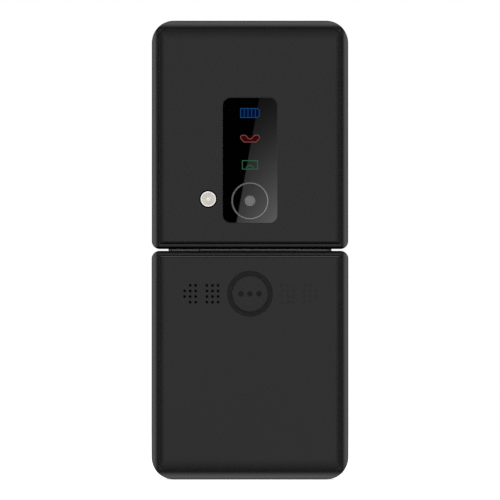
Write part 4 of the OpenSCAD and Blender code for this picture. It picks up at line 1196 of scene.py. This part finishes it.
@dataclass
class Torch(SubAssembly):
    """The torch's lens with painted shade in its recess: a smooth rim around ribbed rings and a small boss.
    """

    radius: float = 2.25 * MM
    flange_radius: float = 2.85 * MM
    flange: tuple[float, float] = (1.47 * MM, 2.07 * MM)
    core_radius: float = 1.95 * MM
    # The near-black ring of these radii and lifts in the recess around the lens is painted shade.
    surround: tuple[float, float] = (2.28 * MM, 2.63 * MM)
    surround_lift: tuple[float, float] = (-0.37 * MM, -0.12 * MM)
    boss_radius: float = 0.62 * MM
    rib: float = 0.06 * MM
    ribs: int = 5
    core_base: float = -0.2 * MM
    rib_foot: float = -0.075 * MM
    surround_edge: float = 0.08 * MM

    def build(self) -> None:
        """Build the lens and its cream core."""
        pad, back = outer_face(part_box("torch_lens"), Facing.BACK)
        r = self.radius
        profile = [(r, back), (r, -self.flange[1]), (self.flange_radius, -self.flange[1]),
                   (self.flange_radius, -self.flange[0]), (r, -self.flange[0]), (r, -0.12 * MM),
                   (r - 0.05 * MM, -0.03 * MM), (r - 0.18 * MM, 0.0),
                   (self.core_radius + 0.05 * MM, -0.02 * MM), (self.core_radius, -0.09 * MM)]
        lens = pad.disc(profile, back, -0.09 * MM).object("torch_lens_rim", self.palette.torch)
        self.keep(lens, Half.LID.value, "torch_lens", slot="torch_glass")
        rows = [(self.core_radius - 0.01 * MM, lift) for lift in (self.core_base, -0.08 * MM)]
        step = (self.core_radius - 0.35 * MM) / self.ribs
        for i in range(self.ribs):
            outer = self.core_radius - 0.02 * MM - i * step
            rows += [(outer, self.rib_foot), (outer - step * 0.25, self.rib_foot + self.rib),
                     (outer - step * 0.9, -0.072 * MM)]
        core = pad.disc(rows, self.core_base, -0.04 * MM).object("torch_lens_core", self.palette.torch_core)
        self.keep(core, Half.LID.value, slot="torch_glass")
        r = self.boss_radius
        boss = pad.disc([(r, self.core_base), (r, -0.05 * MM), (r * 0.8, -0.02 * MM)], self.core_base,
                        -0.01 * MM)
        self.keep(boss.object("torch_lens_boss", self.palette.torch_boss), Half.LID.value,
                  slot="torch_glass")
        (inner, outer), (low, high) = self.surround, self.surround_lift
        edge = self.surround_edge
        # A near-black ring with almost no gloss: painted shade in the recess around the lens.
        ring = pad.hoop([(inner, low), (inner, high - edge), (inner + edge, high), (outer - edge, high),
                         (outer, high - edge), (outer, low)])
        self.keep(ring.object("torch_surround", self.palette.torch_surround), Half.LID.value,
                  slot="black_inner_plastic")


@dataclass
class DisplaySide(SubAssembly):
    """The display's cover glass and the four rubber bumpers around it."""

    radius: float = 1.3 * MM
    edge: float = 0.35 * MM
    rise: float = 0.05 * MM

    def build(self) -> None:
        """Dress the glass and build the domed bumpers."""
        self.dress(self.palette.display, "display_lens")
        low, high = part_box("bumpers")
        work = MeshWork()
        depth = low.y - high.y
        for x in (low.x + self.radius, high.x - self.radius):
            for z in (low.z + self.radius, high.z - self.radius):
                pad = Pad(x, z, high.y, Facing.KEYPAD)
                rows = [(self.radius, depth), *rounded_edge(self.radius, self.edge, self.rise),
                        (self.radius * 0.4, -0.01 * MM)]
                work.loft([pad.circle(r, lift) for r, lift in rows], pad.at(0, 0, depth), pad.at(0, 0, 0))
        self.keep(work.object("rubber_bumpers", self.palette.rubber), Half.LID.value, "bumpers",
                  slot="dark_rubber")


# ---- The studio ----


class ReflectionDome:
    """The soft lights and dark screens that the phone's gloss shows, as one large dome.

    Only reflections see it. It is pale straight behind the viewer of either face, dark in a ring around
    that, and bright at the sides. A slanted panel of light stands in its pale middle.

    Attributes:
        radius: Its radius.
        middle_strength: Strength of its pale middle.
        middle_fade: Between which distances from straight ahead the middle fades.
        side_strength: Strength of its sides.
        side_rise: Between which depths the sides grow bright, towards the keypad's side.
        side_fall: Between which depths they fade again.
        side_rest: The share of them that is left there.
        dark: Strength of the rest.
        rear_growth: How much larger the panel is on the keypad's side.
        panel_reach: Half of the panel's width and height, as slopes.
        panel_height: How high its middle stands, as a slope.
    """

    radius: float = 6.0
    middle_strength: float = 0.86
    middle_fade: Point2 = (0.03, 0.57)
    side_strength: float = 1.6
    side_rise: Point2 = (-0.86, -0.22)
    side_fall: Point2 = (0.1, 0.72)
    side_rest: float = 0.1
    dark: float = 0.02
    rear_growth: float = 2.2
    panel_reach: Point2 = (0.0066, 0.0150)
    panel_height: float = 0.0165

    def __init__(self, middle: Vector, viewing_distance: float) -> None:
        """Build the dome.

        Args:
            middle: Its centre.
            viewing_distance: How far from the phone its panel of light is laid out for.
        """
        self.shader = Shader("studio_reflections")
        self.stretch = 1.0 + viewing_distance / self.radius
        mesh = bmesh.new()
        bmesh.ops.create_icosphere(mesh, subdivisions=4, radius=self.radius)
        data = bpy.data.meshes.new("studio_dome")
        mesh.to_mesh(data)
        mesh.free()
        light = self.shader.node("ShaderNodeEmission", Strength=self.reflection())
        self.shader.plug(self.shader.output.inputs[0], light.outputs[0])
        self.shader.material.cycles.emission_sampling = "NONE"
        data.materials.append(self.shader.material)
        dome = bpy.data.objects.new("studio_dome", data)
        dome.location = middle
        for kind in ("camera", "diffuse", "transmission", "volume_scatter", "shadow"):
            setattr(dome, "visible_" + kind, False)
        bpy.context.scene.collection.objects.link(dome)

    def reflection(self) -> Socket:
        """The strength of the light from each direction."""
        made = self.shader
        toward = made.node("ShaderNodeVectorMath", Vector=made.place())
        toward.operation = "NORMALIZE"
        x, y, z = made.split(toward.outputs[0])
        ahead = made.math("ABSOLUTE", y)
        turned = made.math("SQRT", made.math("MAXIMUM", made.math("SUBTRACT", 1.0, made.product(y, y)), 0.0))
        middle = made.span(turned, self.middle_fade, (self.middle_strength, 0.0))
        sides = made.product(made.span(y, self.side_rise, (0.0, self.side_strength), True),
                             made.span(y, self.side_fall, (1.0, self.side_rest)))
        around = made.math("ADD", made.math("ADD", middle, sides), self.dark)
        front = made.math("LESS_THAN", y, 0.0)
        size = made.math("ADD", self.stretch * (1.0 + self.rear_growth),
                         made.product(front, self.stretch * -self.rear_growth))
        across, up = (made.math("DIVIDE", made.math("DIVIDE", part, ahead), size) for part in (x, z))
        off = (made.math("ABSOLUTE", part) for part in (across, made.math("ADD", up, -self.panel_height)))
        inside = made.product(*(made.math("LESS_THAN", part, reach)
                                for part, reach in zip(off, self.panel_reach)))
        change = made.math("SUBTRACT", self.panel(across, up), around)
        return made.math("ADD", around, made.product(inside, change))

    def panel(self, across: Socket, up: Socket) -> Socket:
        """The slanted panel of light that the window mirrors.

        Args:
            across: How far the direction lies to the side.
            up: How far it rises.

        Returns:
            The panel's strength, stronger towards its foot and its right.
        """
        made = self.shader
        edge = made.math("ADD", made.product(up, 0.182), -0.0034)
        lit = made.math("GREATER_THAN", across, edge)
        drop = made.math("DIVIDE", made.math("SUBTRACT", 0.0283, up), 0.0231)
        drop = made.math("MAXIMUM", drop, 0.0)
        rise = made.math("ADD", made.math("ADD", 0.09, made.product(drop, 0.25)),
                         made.product(drop, drop, 0.8))
        slant = made.math("ADD", 0.67, made.product(across, 86.0))
        slant = made.math("MINIMUM", made.math("MAXIMUM", slant, 0.3), 1.15)
        return made.product(lit, made.math("MINIMUM", made.product(rise, slant), 1.15))


@dataclass
class Studio:
    """The floor, the light and the camera.

    Attributes:
        view_height: Height that fills the picture, at the distance of the phone.
        view_middle: What the camera looks at.
        distance: From the camera to that point.
        floor_size: Side of the floor.
        ambient: Strength of the surrounding light.
        front_power: Power of each of the two lamps before the back of the phone.
        rear_power: Power of each of the two lamps before its keypad.
        front_lamp: Where the right one of the front lamps hangs.
        rear_lamp: Where the right one of the rear lamps hangs.
        lamp_size: Side of each lamp.
        floor_tone: Brightness of the floor near the phone.
        fade: Between which distances from the phone the floor fades into white.
    """

    view_height: float = 0.14773
    view_middle: Place = (0.0, 0.0, 0.06769)
    distance: float = 1.6
    floor_size: float = 12.0
    ambient: float = 0.45
    front_power: float = 13.0
    rear_power: float = 13.0
    front_lamp: Place = (0.9, -1.5, 0.35)
    rear_lamp: Place = (0.9, 1.5, 0.7)
    lamp_size: float = 0.9
    floor_tone: float = 0.72
    fade: Point2 = (0.05, 0.45)

    def build(self) -> None:
        """Set up everything around the phone."""
        self.surround()
        ReflectionDome(Vector(self.view_middle), self.distance)
        self.floor()
        for side, name in ((-1, "left"), (1, "right")):
            for end, (x, y, z), power in (("front_", self.front_lamp, self.front_power),
                                          ("rear_", self.rear_lamp, self.rear_power)):
                self.lamp("softbox_" + end + name, (side * x, y, z), self.lamp_size, power)
        self.camera()

    def surround(self) -> None:
        """Make the world: white to the camera, in gloss and through glass, and dimmer as a light."""
        world = bpy.data.worlds.new("studio_surround")
        world.use_nodes = True
        work = NodeWork(world.node_tree)
        path = work.tree.nodes.new("ShaderNodeLightPath").outputs
        white = work.math("MAXIMUM", path["Is Camera Ray"], path["Is Glossy Ray"])
        white = work.math("MAXIMUM", white, path["Is Transmission Ray"])
        light = work.node("ShaderNodeBackground", Strength=work.span(white, (0.0, 1.0), (self.ambient, 1.0)))
        light.inputs["Color"].default_value = (1.0, 1.0, 1.0, 1.0)
        output = work.tree.nodes.new("ShaderNodeOutputWorld")
        work.plug(output.inputs[0], light.outputs[0])
        bpy.context.scene.world = world

    def floor(self) -> None:
        """Lay a plain pale floor that keeps the phone's shadow and fades into the white around it."""
        half = self.floor_size / 2
        data = bpy.data.meshes.new("studio_floor")
        data.from_pydata([(-half, -half, 0), (half, -half, 0), (half, half, 0), (-half, half, 0)], [],
                         [(0, 1, 2, 3)])
        floor = bpy.data.objects.new("studio_floor", data)
        bpy.context.scene.collection.objects.link(floor)
        shader = Shader("studio_floor_white")
        shader.set(Roughness=0.9, Specular_IOR_Level=0.1)
        tone = shader.mix(shader.noise(6.0, 3.0), (self.floor_tone,) * 3, (self.floor_tone - 0.02,) * 3)
        length = shader.node("ShaderNodeVectorMath", Vector=shader.place())
        length.operation = "LENGTH"
        seen = shader.tree.nodes.new("ShaderNodeLightPath").outputs["Is Camera Ray"]
        pale = shader.node("ShaderNodeEmission", Strength=shader.product(seen, self.floor_tone))
        near = shader.tree.nodes.new("ShaderNodeAddShader")
        shader.plug(near.inputs[0], shader.surface.outputs[0])
        shader.plug(near.inputs[1], pale.outputs[0])
        fade = shader.span(length.outputs["Value"], self.fade, (0.0, 1.0), True)
        blend = shader.node("ShaderNodeMixShader", Fac=shader.product(seen, fade))
        white = shader.node("ShaderNodeEmission", Strength=1.0)
        data.materials.append(shader.finish(tone))
        shader.plug(blend.inputs[1], near.outputs[0])
        shader.plug(blend.inputs[2], white.outputs[0])
        shader.plug(shader.output.inputs[0], blend.outputs[0])
        floor.visible_glossy = False

    def lamp(self, name: str, place: Place, size: float, power: float) -> None:
        """Hang a square softbox that faces the phone.

        Args:
            name: The lamp's name.
            place: Where it hangs.
            size: Its side.
            power: Its power in watts.
        """
        data = bpy.data.lights.new(name, "AREA")
        data.shape = "SQUARE"
        data.size = size
        data.energy = power
        lamp = bpy.data.objects.new(name, data)
        lamp.location = place
        toward = Vector(self.view_middle) - Vector(place)
        lamp.rotation_euler = toward.to_track_quat("-Z", "Y").to_euler()
        lamp.visible_glossy = False
        bpy.context.scene.collection.objects.link(lamp)

    def camera(self) -> None:
        """Set up the long lens that looks squarely at the back."""
        data = bpy.data.cameras.new("product_camera")
        data.sensor_width = SENSOR_WIDTH
        data.sensor_fit = "HORIZONTAL"
        data.lens = SENSOR_WIDTH * self.distance / self.view_height
        data.clip_start = 0.05
        data.clip_end = 60.0
        camera = bpy.data.objects.new("product_camera", data)
        x, y, z = self.view_middle
        turn = Matrix.Rotation(math.pi / 2, 4, "X")
        camera.matrix_world = Matrix.Translation((x, y - self.distance, z)) @ turn
        bpy.context.scene.collection.objects.link(camera)
        bpy.context.scene.camera = camera
        bpy.context.scene.view_settings.view_transform = "Standard"


def main() -> None:
    """Build the phone's looks and the studio."""
    logging.basicConfig(level=logging.INFO, format="%(name)s %(message)s")
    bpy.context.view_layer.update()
    palette = Palette()
    groups: list[SubAssembly] = [Casings(palette), Insides(palette), AlarmButton(palette), Keypad(palette),
                                 NavigationPad(palette), WindowPanel(palette), Torch(palette),
                                 DisplaySide(palette)]
    for group in groups:
        group.build()
        group.report()
    Studio().build()


if __name__ == "__main__":
    main()
